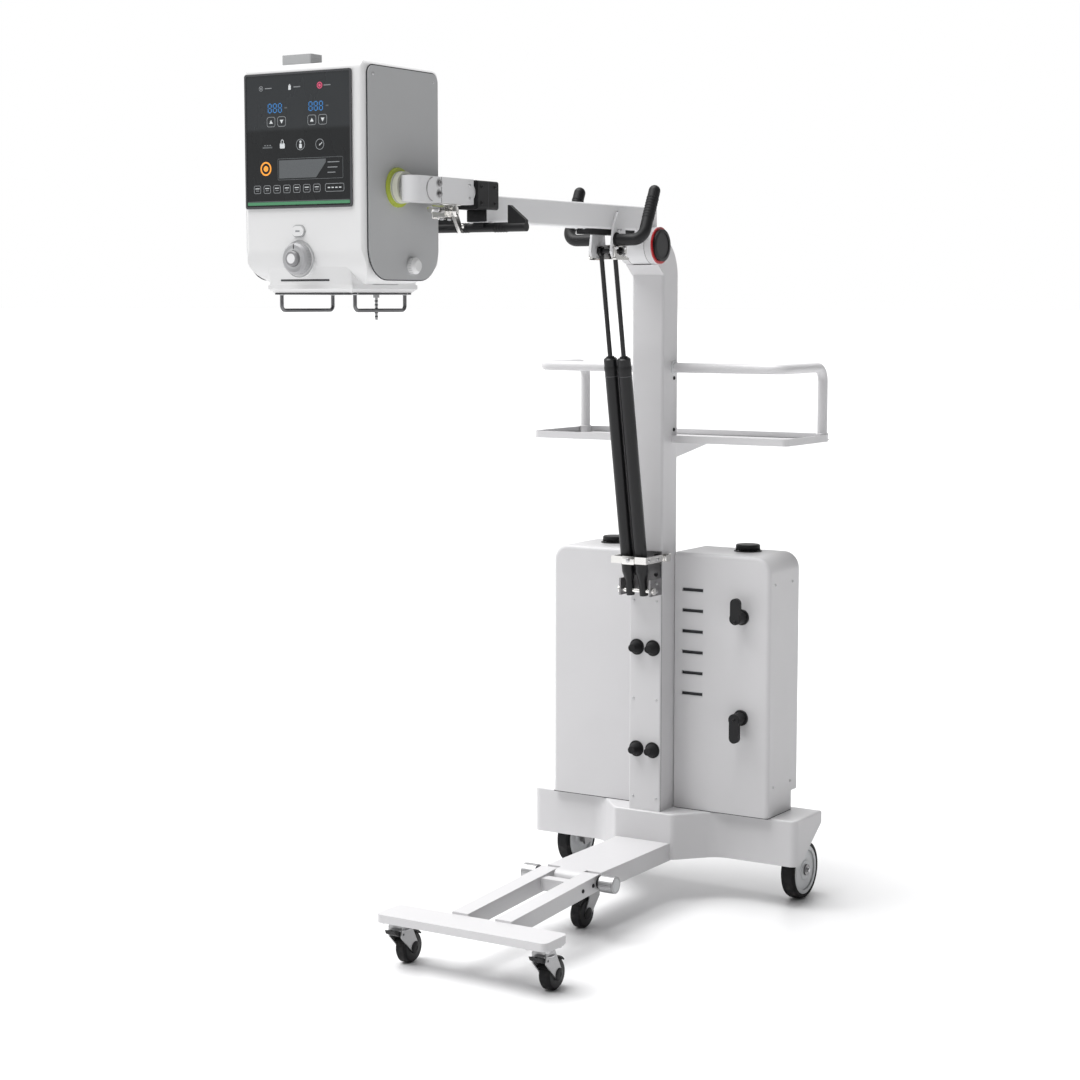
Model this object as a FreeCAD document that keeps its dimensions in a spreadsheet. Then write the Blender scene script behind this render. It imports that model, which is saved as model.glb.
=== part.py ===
import FreeCAD, Part
import math
import os
import re
import Sketcher

# Portable x-ray machine: a wheeled base with a column, a gas-spring balanced arm and a tilting head.
# The front of the machine faces -Y. Sub-parts are drawn about the column's axis, on the floor at Z 0,
# and each gets the same shift in Y, which puts the origin under the middle of the whole machine.

doc = FreeCAD.newDocument("portable_xray_machine")
sheet = doc.addObject("Spreadsheet::Sheet", "Sizes")
places = doc.addObject("App::VarSet", "Places")

# Driving dimensions in millimetres and degrees: alias, value, meaning
SIZES = [
    ("running_gap", 0.05, "radial clearance of a shaft that turns in its bore"),
    ("part_gap", 0.3, "clearance between neighbouring pieces that do not touch"),

    ("base_half_width", 325, "half of the base's width"),
    ("base_wall", 3, "wall of the base's cover"),
    ("base_plate_thickness", 6, "thickness of the base's plate"),
    ("base_top", 194, "height of the base's top face"),
    ("base_bottom", 95, "height of the base's lower edge"),
    ("base_wing_front", 35, "front face of the side wings"),
    ("base_nose_front", -42, "front face of the nose below the column"),
    ("base_nose_half", 72, "half width of the nose"),
    ("base_flare_half", 142, "where the flare of the nose meets the wing"),
    ("base_rear", 163, "rear face of the base"),
    ("base_rear_edge", 168, "height of the rear face's lower edge"),
    ("base_slant_start", 59, "where the underside starts to slant up to the rear"),
    ("base_flare_radius", 60, "radius between nose and wing"),
    ("base_corner_radius", 16, "radius of the outer front corners"),
    ("base_edge_radius", 4, "rounding of the top edge"),

    ("leg_half_width", 64, "half width of the front leg"),
    ("leg_bottom", 92, "underside of the leg and of the platform, where casters are bolted"),
    ("leg_height", 38, "height of the leg's section"),
    ("leg_wall", 3, "wall of the leg's tube"),
    ("leg_head_front", -328, "front face of the hinge head"),

    ("column_half_width", 38, "half width of the column"),
    ("column_half_depth", 33, "half depth of the column"),
    ("column_wall", 3, "wall of the column's tube"),
    ("column_bend_radius", 86, "outer radius of the bend at the column's top"),
    ("column_edge_radius", 6, "rounding of the column's long edges"),
    ("cover_top", 664, "upper end of the column's front cover"),
    ("cover_thickness", 4, "thickness of the front cover"),
    ("cover_edge_radius", 3, "rounding of small plates' edges"),

    ("pivot_forward", 53, "distance of the arm's pivot in front of the column's axis"),
    ("pivot_height", 1398, "height of the arm's pivot"),
    ("pivot_radius", 38, "outer radius of the pivot's barrel and knuckles"),
    ("barrel_half_width", 22, "half width of the turning barrel"),
    ("pivot_shaft_radius", 12, "radius of the pivot's shaft"),
    ("pivot_ring_thickness", 3, "thickness of the red ring"),
    ("pivot_cap_radius", 33, "radius of the black cap"),
    ("pivot_cap_thickness", 5, "thickness of the black cap"),

    ("cabinet_outer", 265, "outer side of a cabinet"),
    ("cabinet_inner", 40, "inner side of a cabinet, beside the column"),
    ("cabinet_front", 22, "front face of the cabinets"),
    ("cabinet_rear", 162, "rear face of the cabinets"),
    ("cabinet_top", 750, "height of the cabinets' tops"),
    ("cabinet_wall", 3, "wall of a cabinet"),
    ("cabinet_top_radius", 35, "radius of the outer top corner"),
    ("cabinet_edge_radius", 9, "rounding of the front edges"),
    ("cabinet_step_top", 236, "height of the step at the rear foot"),
    ("cabinet_step_depth", 26, "depth of the step at the rear foot"),
    ("knob_offset", 165, "place of a cable cap on a cabinet's top"),
    ("knob_rear", 118, "place of a cable cap behind the column's axis"),
    ("knob_radius", 26, "radius of a cable cap"),
    ("knob_height", 15, "height of a cable cap"),

    ("vent_left", 58, "inner end of the vent slots"),
    ("vent_width", 50, "length of a vent slot"),
    ("vent_height", 7, "height of a vent slot"),
    ("vent_low", 447, "height of the lowest vent slot"),
    ("vent_pitch", 44.8, "distance between vent slots"),
    ("vent_count", 6, "number of vent slots"),

    ("hook_offset", 200, "place of the cord hooks"),
    ("hook_upper", 621, "height of the upper hook's stem"),
    ("hook_lower", 406, "height of the lower hook's stem"),
    ("hook_stem_radius", 13, "radius of a hook's stem"),
    ("hook_reach", 34, "how far a hook stands out"),
    ("hook_thickness", 10, "thickness of a hook's upright"),
    ("hook_upright", 39, "length of a hook's upright beyond the stem"),

    ("buffer_spacing", 39, "distance between the buffers of a pair"),
    ("buffer_upper", 548, "height of the upper buffers"),
    ("buffer_lower", 327, "height of the lower buffers"),
    ("buffer_radius", 15, "foot radius of a buffer"),
    ("buffer_tip_radius", 8, "tip radius of a buffer"),
    ("buffer_length", 24, "length of a buffer"),

    ("tray_half_width", 308, "half width of the tray"),
    ("tray_front", 5, "front edge of the tray"),
    ("tray_rear", 240, "rear edge of the tray"),
    ("tray_bottom", 985, "underside of the tray"),
    ("tray_rim", 15, "height of the tray's rim"),
    ("tray_floor", 3, "thickness of the tray's floor"),
    ("tray_wall", 3, "thickness of the tray's rim"),
    ("tray_rear_radius", 42, "radius of the tray's rear corners"),
    ("tray_front_radius", 14, "radius of the tray's front corners"),
    ("rail_height", 1143, "height of the rail's axis"),
    ("rail_radius", 10.5, "radius of the rail's tube"),
    ("rail_front", 15, "place of the rail's front run"),
    ("rail_post", 207, "place of the rail's posts"),
    ("rail_inset", 14, "distance of the rail's axis inside the tray's side"),
    ("bracket_drop", 34, "height of the brackets below the tray"),
    ("bracket_length", 190, "length of the brackets below the tray"),
    ("bracket_offset", 22, "place of the brackets beside the middle"),
    ("post_boss_radius", 12, "radius of the tray's boss under a rail's post"),
    ("rail_bend", 30, "radius of the rail's bend to the post"),

    ("arm_half_width", 22, "half width of the arm's tubes"),
    ("arm_height", 50, "height of the rear arm tube"),
    ("arm_rise", 29, "underside of the rear arm tube above the pivot's axis"),
    ("arm_wall", 3, "wall of the arm's tubes"),
    ("arm_tail", 18, "length of the arm behind the pivot's axis"),
    ("arm_length", 627, "length of the rear arm tube before the pivot's axis"),
    ("arm_edge_radius", 5, "rounding of the arm's long edges"),
    ("pad_inset", 8, "distance of the pad below the arm from the tube's sides"),
    ("pad_length", 186, "length of the pad below the arm"),
    ("pad_thickness", 11, "thickness of the pad below the arm"),
    ("pad_forward", 101, "front end of the pad before the gas springs' upper joint"),

    ("block_ahead", 37, "how far the black block stands before the rear arm tube"),
    ("block_length", 68, "length of the black block"),
    ("block_half_width", 27, "half width of the black block"),
    ("block_height", 52, "height of the black block"),
    ("block_rise", 52, "underside of the black block above the pivot's axis"),

    ("nose_rise", 82, "axis of the front tube above the pivot's axis"),
    ("nose_height", 46, "height of the front tube"),
    ("nose_length", 183, "length of the front tube"),
    ("nose_tip_radius", 19, "rounding of the front tube's tip"),
    ("roll_flange_radius", 21, "radius of the roll bearing's flange"),
    ("roll_flange_thickness", 4, "thickness of the roll bearing's flange"),
    ("roll_shaft_radius", 10, "radius of the roll shaft"),
    ("roll_shaft_length", 34, "length of the roll shaft in the front tube"),

    ("upper_joint_forward", 147, "gas springs' upper joint before the pivot's axis"),
    ("upper_joint_drop", 14, "gas springs' upper joint below the pivot's axis"),
    ("lower_joint_forward", 40, "gas springs' lower joint before the column's front face"),
    ("lower_joint_rise", 11, "gas springs' lower joint above the front cover's top"),
    ("bracket_height", 92, "height of the steel bracket above the front cover"),
    ("cheek_thickness", 4, "thickness of the bracket's cheeks"),
    ("cheek_height", 36, "height of the bracket's cheeks"),
    ("cheek_margin", 10, "how far the cheeks reach past the lower joint"),
    ("strap_thickness", 4, "thickness of the strap round the gas springs"),
    ("strap_height", 15, "height of the strap"),
    ("strap_length", 96, "length of the strap from front to rear"),
    ("strap_forward", 37, "front face of the strap before the lower joint"),
    ("strap_rise", 60, "underside of the strap above the lower joint"),
    ("spring_spacing", 32, "distance between the two gas springs"),
    ("spring_radius", 14, "radius of a gas spring's cylinder"),
    ("spring_bore", 11, "bore radius of a gas spring's cylinder"),
    ("spring_length", 500, "top of the cylinder from its lower joint"),
    ("spring_taper", 42, "length of the cylinder's tapered foot"),
    ("spring_foot_radius", 9, "radius of the cylinder's foot"),
    ("rod_radius", 4.8, "radius of a gas spring's rod"),
    ("rod_inside", 290, "length of rod inside the cylinder at rest"),
    ("pin_radius", 5, "radius of the gas springs' pins"),
    ("eye_radius", 10, "radius of the eyes on rods and cylinders"),
    ("eye_width", 7, "width of a rod's eye"),

    ("ear_thickness", 5, "thickness of the arm's ears"),
    ("ear_apex", 64, "top of an ear above the pivot's axis"),
    ("ear_bottom", 28, "bottom of an ear below the pivot's axis"),
    ("ear_half_width", 31, "half width of an ear's lower end"),
    ("grip_radius", 12, "radius of the rear handle's grips"),
    ("grip_half_span", 88, "place of the grips' uprights"),
    ("grip_forward", 159, "place of the grips before the pivot's axis"),
    ("grip_rise", 8, "height of the grips' level part above the pivot's axis"),
    ("grip_upright", 98, "height of a grip's upright"),
    ("grip_lean", 47, "how far a grip's upright leans back"),
    ("grip_bend", 22, "bend radius of a grip"),

    ("yoke_radius", 8.5, "radius of the front handle's bar"),
    ("yoke_inset", 16, "front handle behind the rear arm tube's front end"),
    ("neck_half_width", 11, "half width of the neck between arm and front handle"),
    ("neck_depth", 26, "depth of the neck between arm and front handle"),
    ("yoke_rise", 20, "height of the front handle's bar above the pivot's axis"),
    ("yoke_half_span", 98, "half length of the front handle"),
    ("yoke_bend", 14, "bend radius of the front handle"),
    ("fin_height", 40, "height of the front handle's thumb fins"),
    ("fin_foot", 12.5, "height of a thumb fin's outer edge"),
    ("fin_tip", 4, "width of a thumb fin's tip"),
    ("fin_length", 38, "length of the front handle's thumb fins"),
    ("fin_thickness", 10, "thickness of the front handle's thumb fins"),

    ("head_left", -325, "left side of the head"),
    ("head_width", 276, "width of the head"),
    ("head_depth", 232, "depth of the head"),
    ("head_rear_offset", 138, "rear face of the head behind the head's pivot"),
    ("head_bottom_drop", 168, "underside of the head's shell below its pivot"),
    ("head_height", 390, "height of the head's shell"),
    ("head_wall", 5, "wall of the head's shell"),
    ("head_floor", 28, "thickness of the head's floor"),
    ("head_side_radius", 65, "bottom corner radius seen from the side"),
    ("head_front_radius", 50, "bottom corner radius seen from the front"),
    ("head_top_radius", 16, "top corner radius"),
    ("head_edge_radius", 10, "rounding of the head's front and rear edges"),
    ("cover_inset", 9, "rim of the shell round a side cover"),
    ("cover_plate", 3, "thickness of a side cover"),
    ("head_pivot_inset", 40.3, "head's pivot behind the front tube's tip"),
    ("head_shaft_radius", 12, "radius of the head's shaft"),
    ("head_pivot_rise", 4, "head's pivot above the front tube's axis"),
    ("hub_radius", 28, "radius of the head's hub"),
    ("hub_ring_radius", 35, "radius of the ring behind the hub"),
    ("hub_ring_thickness", 5, "thickness of the ring behind the hub"),
    ("washer_radius", 23, "radius of the hub's washer"),
    ("washer_thickness", 9, "thickness of the hub's washer"),

    ("panel_width", 237, "width of the control panel"),
    ("panel_height", 237, "height of the control panel"),
    ("panel_left_margin", 10, "panel's distance from the head's left side"),
    ("panel_top_margin", 16, "panel's distance below the head's top"),
    ("panel_thickness", 2.5, "thickness of the panel's glass"),
    ("key_width", 26, "width of the hand key"),
    ("key_height", 18, "height of the hand key"),
    ("key_drop", 73, "hand key's height below the head's pivot"),
    ("key_travel", 1.5, "travel of the hand key"),
    ("dial_radius", 28, "radius of the collimator's knob"),
    ("dial_drop", 122, "collimator knob's height below the head's pivot"),
    ("dial_thickness", 16, "thickness of the collimator's knob"),
    ("control_offset", 11, "place of key and knob left of the head's middle"),

    ("frame_half_width", 95, "half width of the collimator's frame"),
    ("frame_depth", 200, "depth of the collimator's frame"),
    ("frame_thickness", 15, "thickness of the collimator's frame"),
    ("frame_bevel", 8, "bevel of the collimator frame's lower edges"),
    ("window_half", 50, "half side of the collimator's window"),
    ("window_thickness", 3, "thickness of the collimator's window"),
    ("bail_half_width", 76.5, "half width of a wire bail"),
    ("bail_inset", 12, "distance of a bail inside the collimator frame's side"),
    ("bail_drop", 31, "height of a wire bail"),
    ("bail_radius", 3.4, "radius of a bail's wire"),
    ("bail_bend", 9, "bend radius of a bail"),
    ("pointer_length", 48, "length of the centring pin"),
    ("pointer_radius", 2.5, "radius of the centring pin"),
    ("head_nose_radius", 65, "bottom front corner radius seen from the side"),
    ("tank_width", 160, "width of the x-ray tube's tank"),
    ("tank_depth", 130, "depth of the x-ray tube's tank"),
    ("tank_height", 180, "height of the x-ray tube's tank"),
    ("pack_width", 180, "width of a power pack"),
    ("pack_depth", 100, "depth of a power pack"),
    ("pack_height", 200, "height of a power pack"),
    ("dial_reach", 24, "how far the collimator's knob stands out"),
    ("socket_width", 66, "width of the cable socket on the head"),
    ("socket_depth", 34, "depth of the cable socket on the head"),
    ("socket_height", 20, "height of the cable socket on the head"),
    ("side_knob_radius", 15, "radius of the knob on the head's side"),
    ("side_knob_length", 15, "length of the knob on the head's side"),

    ("wheel_radius", 62.5, "radius of a rear wheel"),
    ("wheel_width", 30, "width of a rear wheel"),
    ("wheel_outer", 296, "outer face of a rear wheel"),
    ("wheel_rear", 149, "place of the rear axles"),
    ("wheel_rim_radius", 50, "rim radius of a rear wheel"),
    ("wheel_axle_radius", 8, "radius of a rear axle"),
    ("wheel_plate_thickness", 6, "thickness of a rear wheel's plate"),
    ("wheel_plate_gap", 10, "gap between a rear wheel and its plate"),
    ("wheel_plate_ahead", 34, "reach of a rear wheel's plate before the axle"),
    ("wheel_plate_behind", 12, "reach of a rear wheel's plate behind the axle"),
    ("wheel_plate_drop", 13, "reach of a rear wheel's plate below the axle"),

    ("frame_rail_inner", 31, "inner side of a folding rail"),
    ("frame_rail_width", 37, "width of a folding rail"),
    ("frame_rail_height", 33, "height of a folding rail"),
    ("frame_rail_wall", 2.5, "wall of a folding rail"),
    ("hinge_forward", 345, "place of the folding frame's hinge before the column's axis"),
    ("hinge_height", 114, "height of the folding frame's hinge"),
    ("hinge_shaft_radius", 7, "radius of the folding frame's shaft"),
    ("hinge_half_span", 88, "half length of the shaft between its knobs"),
    ("hinge_knob_gap", 8, "gap between a folding rail and its clamp knob"),
    ("hinge_knob_radius", 17.5, "radius of the hinge's clamp knob"),
    ("hinge_knob_length", 32, "length of the hinge's clamp knob"),
    ("frame_slope", 18, "how much lower the folding rails end at the platform"),
    ("cross_length", 24, "length of the cross member between the rails"),
    ("platform_half_width", 193, "half width of the platform"),
    ("platform_front", -752, "front edge of the platform"),
    ("platform_depth", 81, "depth of the platform"),
    ("platform_thickness", 16, "thickness of the platform"),
    ("platform_radius", 12, "corner radius of the platform"),

    ("caster_offset", 164, "place of the front casters"),
    ("caster_front", -711, "place of the front casters' swivels"),
    ("caster_middle", -268, "place of the middle caster's swivel"),
    ("caster_radius", 31, "radius of a caster's wheel"),
    ("caster_width", 24, "width of a caster's wheel"),
    ("caster_trail", 29, "distance from swivel to axle"),
    ("caster_plate_side", 56, "side of a caster's plate"),
    ("caster_plate_thickness", 3, "thickness of a caster's plate"),
    ("caster_cheek", 3, "thickness of a caster's cheeks"),
    ("caster_head_radius", 21, "radius of a caster's swivel head"),
    ("caster_head_height", 9, "height of a caster's swivel head"),
    ("caster_axle_radius", 4, "radius of a caster's axle"),
]

# Places worked out from the driving dimensions: name, formula
PLACES = [
    ("leg_top", "leg_bottom + leg_height"),
    ("base_height", "base_top - base_bottom"),
    ("pivot_y", "-pivot_forward"),
    ("pivot_z", "pivot_height"),
    ("arm_low", "pivot_z + arm_rise"),
    ("arm_top", "arm_low + arm_height"),
    ("arm_front", "pivot_y - arm_length"),
    ("block_front_y", "arm_front - block_ahead"),
    ("yoke_y", "arm_front + yoke_inset"),
    ("yoke_z", "pivot_z + yoke_rise"),
    ("block_low", "pivot_z + block_rise"),
    ("nose_z", "pivot_z + nose_rise"),
    ("nose_rear", "block_front_y - roll_flange_thickness - part_gap"),
    ("nose_front", "nose_rear - nose_length"),
    ("head_pivot_y", "nose_front + head_pivot_inset"),
    ("head_pivot_z", "nose_z + head_pivot_rise"),
    ("head_right", "head_left + head_width"),
    ("head_middle", "head_left + head_width / 2"),
    ("head_rear", "head_pivot_y + head_rear_offset"),
    ("head_front", "head_rear - head_depth"),
    ("head_centre_y", "head_rear - head_depth / 2"),
    ("head_low", "nose_z - head_bottom_drop"),
    ("head_top", "head_low + head_height"),
    ("cavity_low", "head_low + head_floor"),
    ("upper_y", "pivot_y - upper_joint_forward"),
    ("upper_z", "pivot_z - upper_joint_drop"),
    ("lower_y", "-column_half_depth - lower_joint_forward"),
    ("lower_z", "cover_top + lower_joint_rise"),
    ("spring_span", "sqrt((upper_y - lower_y)^2 + (upper_z - lower_z)^2)"),
    ("spring_lean", "atan((lower_y - upper_y) / (upper_z - lower_z)) / 1 deg"),
    ("rail_side", "tray_half_width - rail_inset"),
    ("tray_top_face", "tray_bottom + tray_floor"),
    ("hinge_y", "-hinge_forward"),
    ("frame_rail_low", "hinge_height - frame_rail_height / 2"),
    ("platform_rear", "platform_front + platform_depth"),
    ("wheel_inner", "wheel_outer - wheel_width"),
    ("wheel_plate_x", "wheel_inner - wheel_plate_gap - wheel_plate_thickness"),
    ("collimator_low", "head_low - frame_thickness"),
    ("control_x", "head_middle - control_offset"),
    ("slant", "(base_rear_edge - base_bottom) / (base_rear - base_slant_start)"),
    ("shell_left", "head_left + cover_plate"),
    ("shell_right", "head_right - cover_plate"),
    ("column_foot", "base_bottom + base_plate_thickness"),
    ("swivel_top", "leg_bottom - caster_plate_thickness"),
    ("swivel_low", "swivel_top - caster_head_height"),
    ("column_shift", "-(head_front - dial_reach + tray_rear) / 2"),
]

for row, (alias, number, meaning) in enumerate(SIZES, start=1):
    sheet.set("A%d" % row, meaning)
    sheet.set("B%d" % row, str(number))
    sheet.setAlias("B%d" % row, alias)
doc.recompute()

ALIASES = {alias for alias, number, meaning in SIZES}
PLACE_NAMES = {name for name, formula in PLACES}
WORD = re.compile(r"[a-z][a-z_0-9]*")


def formula(text):
    """Spell a formula's names out as cells of the sheet or as worked out places."""
    def spell(match):
        word = match.group(0)
        if word in ALIASES:
            return "Sizes." + word
        if word in PLACE_NAMES:
            return "Places." + word
        return word
    return WORD.sub(spell, str(text))


for name, text in PLACES:
    places.addProperty("App::PropertyFloat", name, "Places")
for name, text in PLACES:
    places.setExpression(name, formula(text))
doc.recompute()


def size(name):
    """The number behind a size or a place, for the few shapes that are made by code."""
    return float(sheet.get(name)) if name in ALIASES else float(getattr(places, name))


def bind(thing, **formulas):
    """Bind properties to formulas; a double underscore in a name stands for a dot."""
    for name, text in formulas.items():
        thing.setExpression(name.replace("__", "."), formula(text))
    return thing


def put(thing, at):
    """Bind the place of a primitive to three formulas."""
    return bind(thing, Placement__Base__x=at[0], Placement__Base__y=at[1], Placement__Base__z=at[2])


AXES = {
    "X": FreeCAD.Rotation(FreeCAD.Vector(0, 1, 0), 90),
    "Y": FreeCAD.Rotation(FreeCAD.Vector(1, 0, 0), -90),
    "-Y": FreeCAD.Rotation(FreeCAD.Vector(1, 0, 0), 90),
    "Z": FreeCAD.Rotation(),
}


def box(name, length, width, height, at):
    """A block with its low corner at a place."""
    return put(bind(doc.addObject("Part::Box", name), Length=length, Width=width, Height=height), at)


def middle_box(name, half_width, width, height, at):
    """A block that is symmetric about X 0; at gives its low Y and Z."""
    return box(name, "2 * (%s)" % half_width, width, height, ("-(%s)" % half_width, at[0], at[1]))


def cylinder(name, radius, length, at, axis="Z"):
    """A cylinder that starts at a place and runs along an axis."""
    thing = bind(doc.addObject("Part::Cylinder", name), Radius=radius, Height=length)
    thing.Placement = FreeCAD.Placement(FreeCAD.Vector(), AXES[axis])
    return put(thing, at)


def middle_cylinder(name, radius, half_length, at):
    """A cylinder along X that is symmetric about X 0; at gives its Y and Z."""
    return cylinder(name, radius, "2 * (%s)" % half_length, ("-(%s)" % half_length, at[0], at[1]), "X")


def cone(name, radius, tip_radius, length, at, axis="Z"):
    """A cone frustum that starts at a place and runs along an axis."""
    thing = bind(doc.addObject("Part::Cone", name), Radius1=radius, Radius2=tip_radius, Height=length)
    thing.Placement = FreeCAD.Placement(FreeCAD.Vector(), AXES[axis])
    return put(thing, at)


def fuse(name, *things):
    """The union of several objects."""
    joined = doc.addObject("Part::MultiFuse", name)
    joined.Shapes = list(things)
    return joined


def cut(name, base, *tools):
    """An object less one or more tools."""
    rest = doc.addObject("Part::Cut", name)
    rest.Base = base
    rest.Tool = tools[0] if len(tools) == 1 else fuse(name + "_tools", *tools)
    return rest


def common(name, first, second):
    """What two objects share."""
    shared = doc.addObject("Part::Common", name)
    shared.Base = first
    shared.Tool = second
    return shared


def group(name, *things):
    """Separate solids that share one node."""
    together = doc.addObject("Part::Compound", name)
    together.Links = list(things)
    return together


def edges_where(thing, test):
    """The numbers of the edges whose ends and direction pass a test."""
    doc.recompute()
    picked = []
    for number, edge in enumerate(thing.Shape.Edges, start=1):
        ends = [vertex.Point for vertex in edge.Vertexes]
        if len(ends) == 2 and test(ends[0], ends[1]):
            picked.append(number)
    return picked


def along(axis):
    """A test for straight edges that run along an axis."""
    def test(start, end):
        step = end - start
        return step.Length > 1e-6 and abs(abs(getattr(step, axis)) - step.Length) < 1e-6
    return test


def rounded(name, base, radius, test, kind="Part::Fillet"):
    """A Part fillet or chamfer of one size on the edges that pass a test."""
    numbers = edges_where(base, test)
    thing = doc.addObject(kind, name)
    thing.Base = base
    thing.Edges = [(number, size(radius), size(radius)) for number in numbers]
    return thing


def outline_sketch(body, name, plane, points, offset="0"):
    """A closed outline on one of a body's origin planes, with each corner bound to two formulas."""
    sketch = body.newObject("Sketcher::SketchObject", name)
    origin_plane = [f for f in body.Origin.OriginFeatures if f.Role == plane + "_Plane"][0]
    sketch.AttachmentSupport = [(origin_plane, "")]
    sketch.MapMode = "FlatFace"
    bind(sketch, AttachmentOffset__Base__z=offset)
    scratch = doc.addObject("App::VarSet", name + "_corners")
    corners = []
    for number, (first, second) in enumerate(points):
        for letter, text in (("u", first), ("v", second)):
            scratch.addProperty("App::PropertyFloat", "%s%d" % (letter, number), "Corners")
            scratch.setExpression("%s%d" % (letter, number), formula(text))
    scratch.recompute()
    for number in range(len(points)):
        corners.append(FreeCAD.Vector(getattr(scratch, "u%d" % number), getattr(scratch, "v%d" % number)))
    count = len(corners)
    for number in range(count):
        sketch.addGeometry(Part.LineSegment(corners[number], corners[(number + 1) % count]))
    for number in range(count):
        sketch.addConstraint(Sketcher.Constraint("Coincident", number, 2, (number + 1) % count, 1))
    for number, corner in enumerate(corners):
        for kind, letter, amount in (("DistanceX", "u", corner.x), ("DistanceY", "v", corner.y)):
            index = sketch.addConstraint(Sketcher.Constraint(kind, -1, 1, number, 1, amount))
            sketch.setExpression("Constraints[%d]" % index, "%s_corners.%s%d" % (name, letter, number))
    return sketch


def prism(name, plane, points, length, offset="0", middle=False):
    """A PartDesign body padded from an outline; XZ outlines are padded towards -Y."""
    body = doc.addObject("PartDesign::Body", name)
    sketch = outline_sketch(body, name + "_outline", plane, points, offset)
    pad = body.newObject("PartDesign::Pad", name + "_pad")
    pad.Profile = sketch
    pad.Midplane = middle
    bind(pad, Length=length)
    doc.recompute()
    return body


def soften(body, name, radius, test, chamfer=False):
    """A PartDesign fillet or chamfer on the edges of a body's tip that pass a test."""
    tip = body.Tip
    numbers = edges_where(tip, test)
    kind = "PartDesign::Chamfer" if chamfer else "PartDesign::Fillet"
    feature = body.newObject(kind, name)
    feature.Base = (tip, ["Edge%d" % number for number in numbers])
    bind(feature, **{"Size" if chamfer else "Radius": radius})
    doc.recompute()
    return feature


def turned(name, points, at, axis="Z"):
    """A PartDesign body turned about its own Z axis from an outline of radius and height."""
    body = doc.addObject("PartDesign::Body", name)
    sketch = outline_sketch(body, name + "_outline", "XZ", points)
    turn = body.newObject("PartDesign::Revolution", name + "_turn")
    turn.Profile = sketch
    turn.ReferenceAxis = (sketch, ["V_Axis"])
    turn.Angle = 360
    doc.recompute()
    return set_down(name + "_placed", body, at, axis)


def set_down(name, thing, at, axis="Z"):
    """A piece drawn at the origin, turned to an axis and set down at a place."""
    holder = doc.addObject("Part::Compound", name)
    holder.Links = [thing]
    holder.Placement = FreeCAD.Placement(FreeCAD.Vector(), AXES[axis])
    return put(holder, at)


def bent_rod(name, points, radius, bend, round_ends=False):
    """A round rod along straight runs joined by tangent arcs, made by code from sheet sizes."""
    corners = [FreeCAD.Vector(*point) for point in points]
    edges = []
    start = corners[0]
    for before, corner, after in zip(corners, corners[1:], corners[2:]):
        inward = (before - corner).normalize()
        outward = (after - corner).normalize()
        half_turn = inward.getAngle(outward) / 2
        reach = bend / math.tan(half_turn)
        first = corner + inward * reach
        last = corner + outward * reach
        centre = corner + (inward + outward).normalize() * (bend / math.sin(half_turn))
        middle = centre + (corner - centre).normalize() * bend
        edges.append(Part.LineSegment(start, first).toShape())
        edges.append(Part.Arc(first, middle, last).toShape())
        start = last
    edges.append(Part.LineSegment(start, corners[-1]).toShape())
    path = Part.Wire(edges)
    profile = Part.Wire(Part.Circle(corners[0], corners[1] - corners[0], radius).toShape())
    shape = path.makePipeShell([profile], True, False)
    if round_ends:
        shape = shape.fuse(Part.makeSphere(radius, corners[-1])).removeSplitter()
    rod = doc.addObject("Part::Feature", name)
    rod.Shape = shape
    return rod


subparts = []


def finish_subpart(thing, node, at=("0", "0", "0"), lean=None):
    """Name a finished sub-part, shift it to the machine's origin and keep it for export."""
    if any("Placement" in path for path, text in thing.ExpressionEngine):
        thing = group(node + "_set", thing)
    thing.Label = node
    if lean:
        thing.Placement = FreeCAD.Placement(FreeCAD.Vector(), FreeCAD.Rotation(FreeCAD.Vector(1, 0, 0), 1))
        bind(thing, Placement__Rotation__Angle=lean)
    bind(thing, Placement__Base__x=at[0], Placement__Base__y="column_shift + (%s)" % at[1],
         Placement__Base__z=at[2])
    subparts.append(thing)
    return thing


def mirrored(points):
    """An outline's right half followed by its mirror image."""
    return points + [("-(%s)" % first, second) for first, second in reversed(points)]


def base_plan(inset):
    """The base seen from above, drawn in by an inset."""
    return mirrored([
        ("base_nose_half - 0.44 * (%s)" % inset, "base_nose_front + (%s)" % inset),
        ("base_flare_half - 0.44 * (%s)" % inset, "base_wing_front + (%s)" % inset),
        ("base_half_width - (%s)" % inset, "base_wing_front + (%s)" % inset),
        ("base_half_width - (%s)" % inset, "base_rear - (%s)" % inset),
    ])


def upright_at(place, near=1.0):
    """A test for vertical edges at a place along X (on either side) and Y."""
    def test(start, end):
        upright = along("z")(start, end)
        return upright and abs(abs(start.x) - place[0]) < near and abs(start.y - place[1]) < near
    return test


def base_block(name, inset, low, height):
    """A block with the base's plan and rounded corners."""
    body = prism(name, "XY", base_plan(inset), height, low)
    start = size("base_wall") if inset == "base_wall" else 0
    nose = (size("base_nose_half") - 0.44 * start, size("base_nose_front") + start)
    flare = (size("base_flare_half") - 0.44 * start, size("base_wing_front") + start)
    outer = (size("base_half_width") - start, size("base_wing_front") + start)
    soften(body, name + "_flare", "base_flare_radius", upright_at(flare, 3))
    soften(body, name + "_nose", "base_corner_radius", upright_at(nose, 3))
    soften(body, name + "_corners", "base_corner_radius", upright_at(outer, 3))
    return body


def underside(name, rise):
    """What lies under the base: level in front and slanted up to the rear."""
    return prism(name, "YZ", [
        ("base_nose_front - 10", "base_bottom - 10"),
        ("base_rear + 10", "base_bottom - 10"),
        ("base_rear + 10", "base_bottom + slant * (base_rear + 10 - base_slant_start) + (%s)" % rise),
        ("base_slant_start", "base_bottom + (%s)" % rise),
        ("base_nose_front - 10", "base_bottom + (%s)" % rise),
    ], "2 * base_half_width + 20", middle=True)


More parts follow.
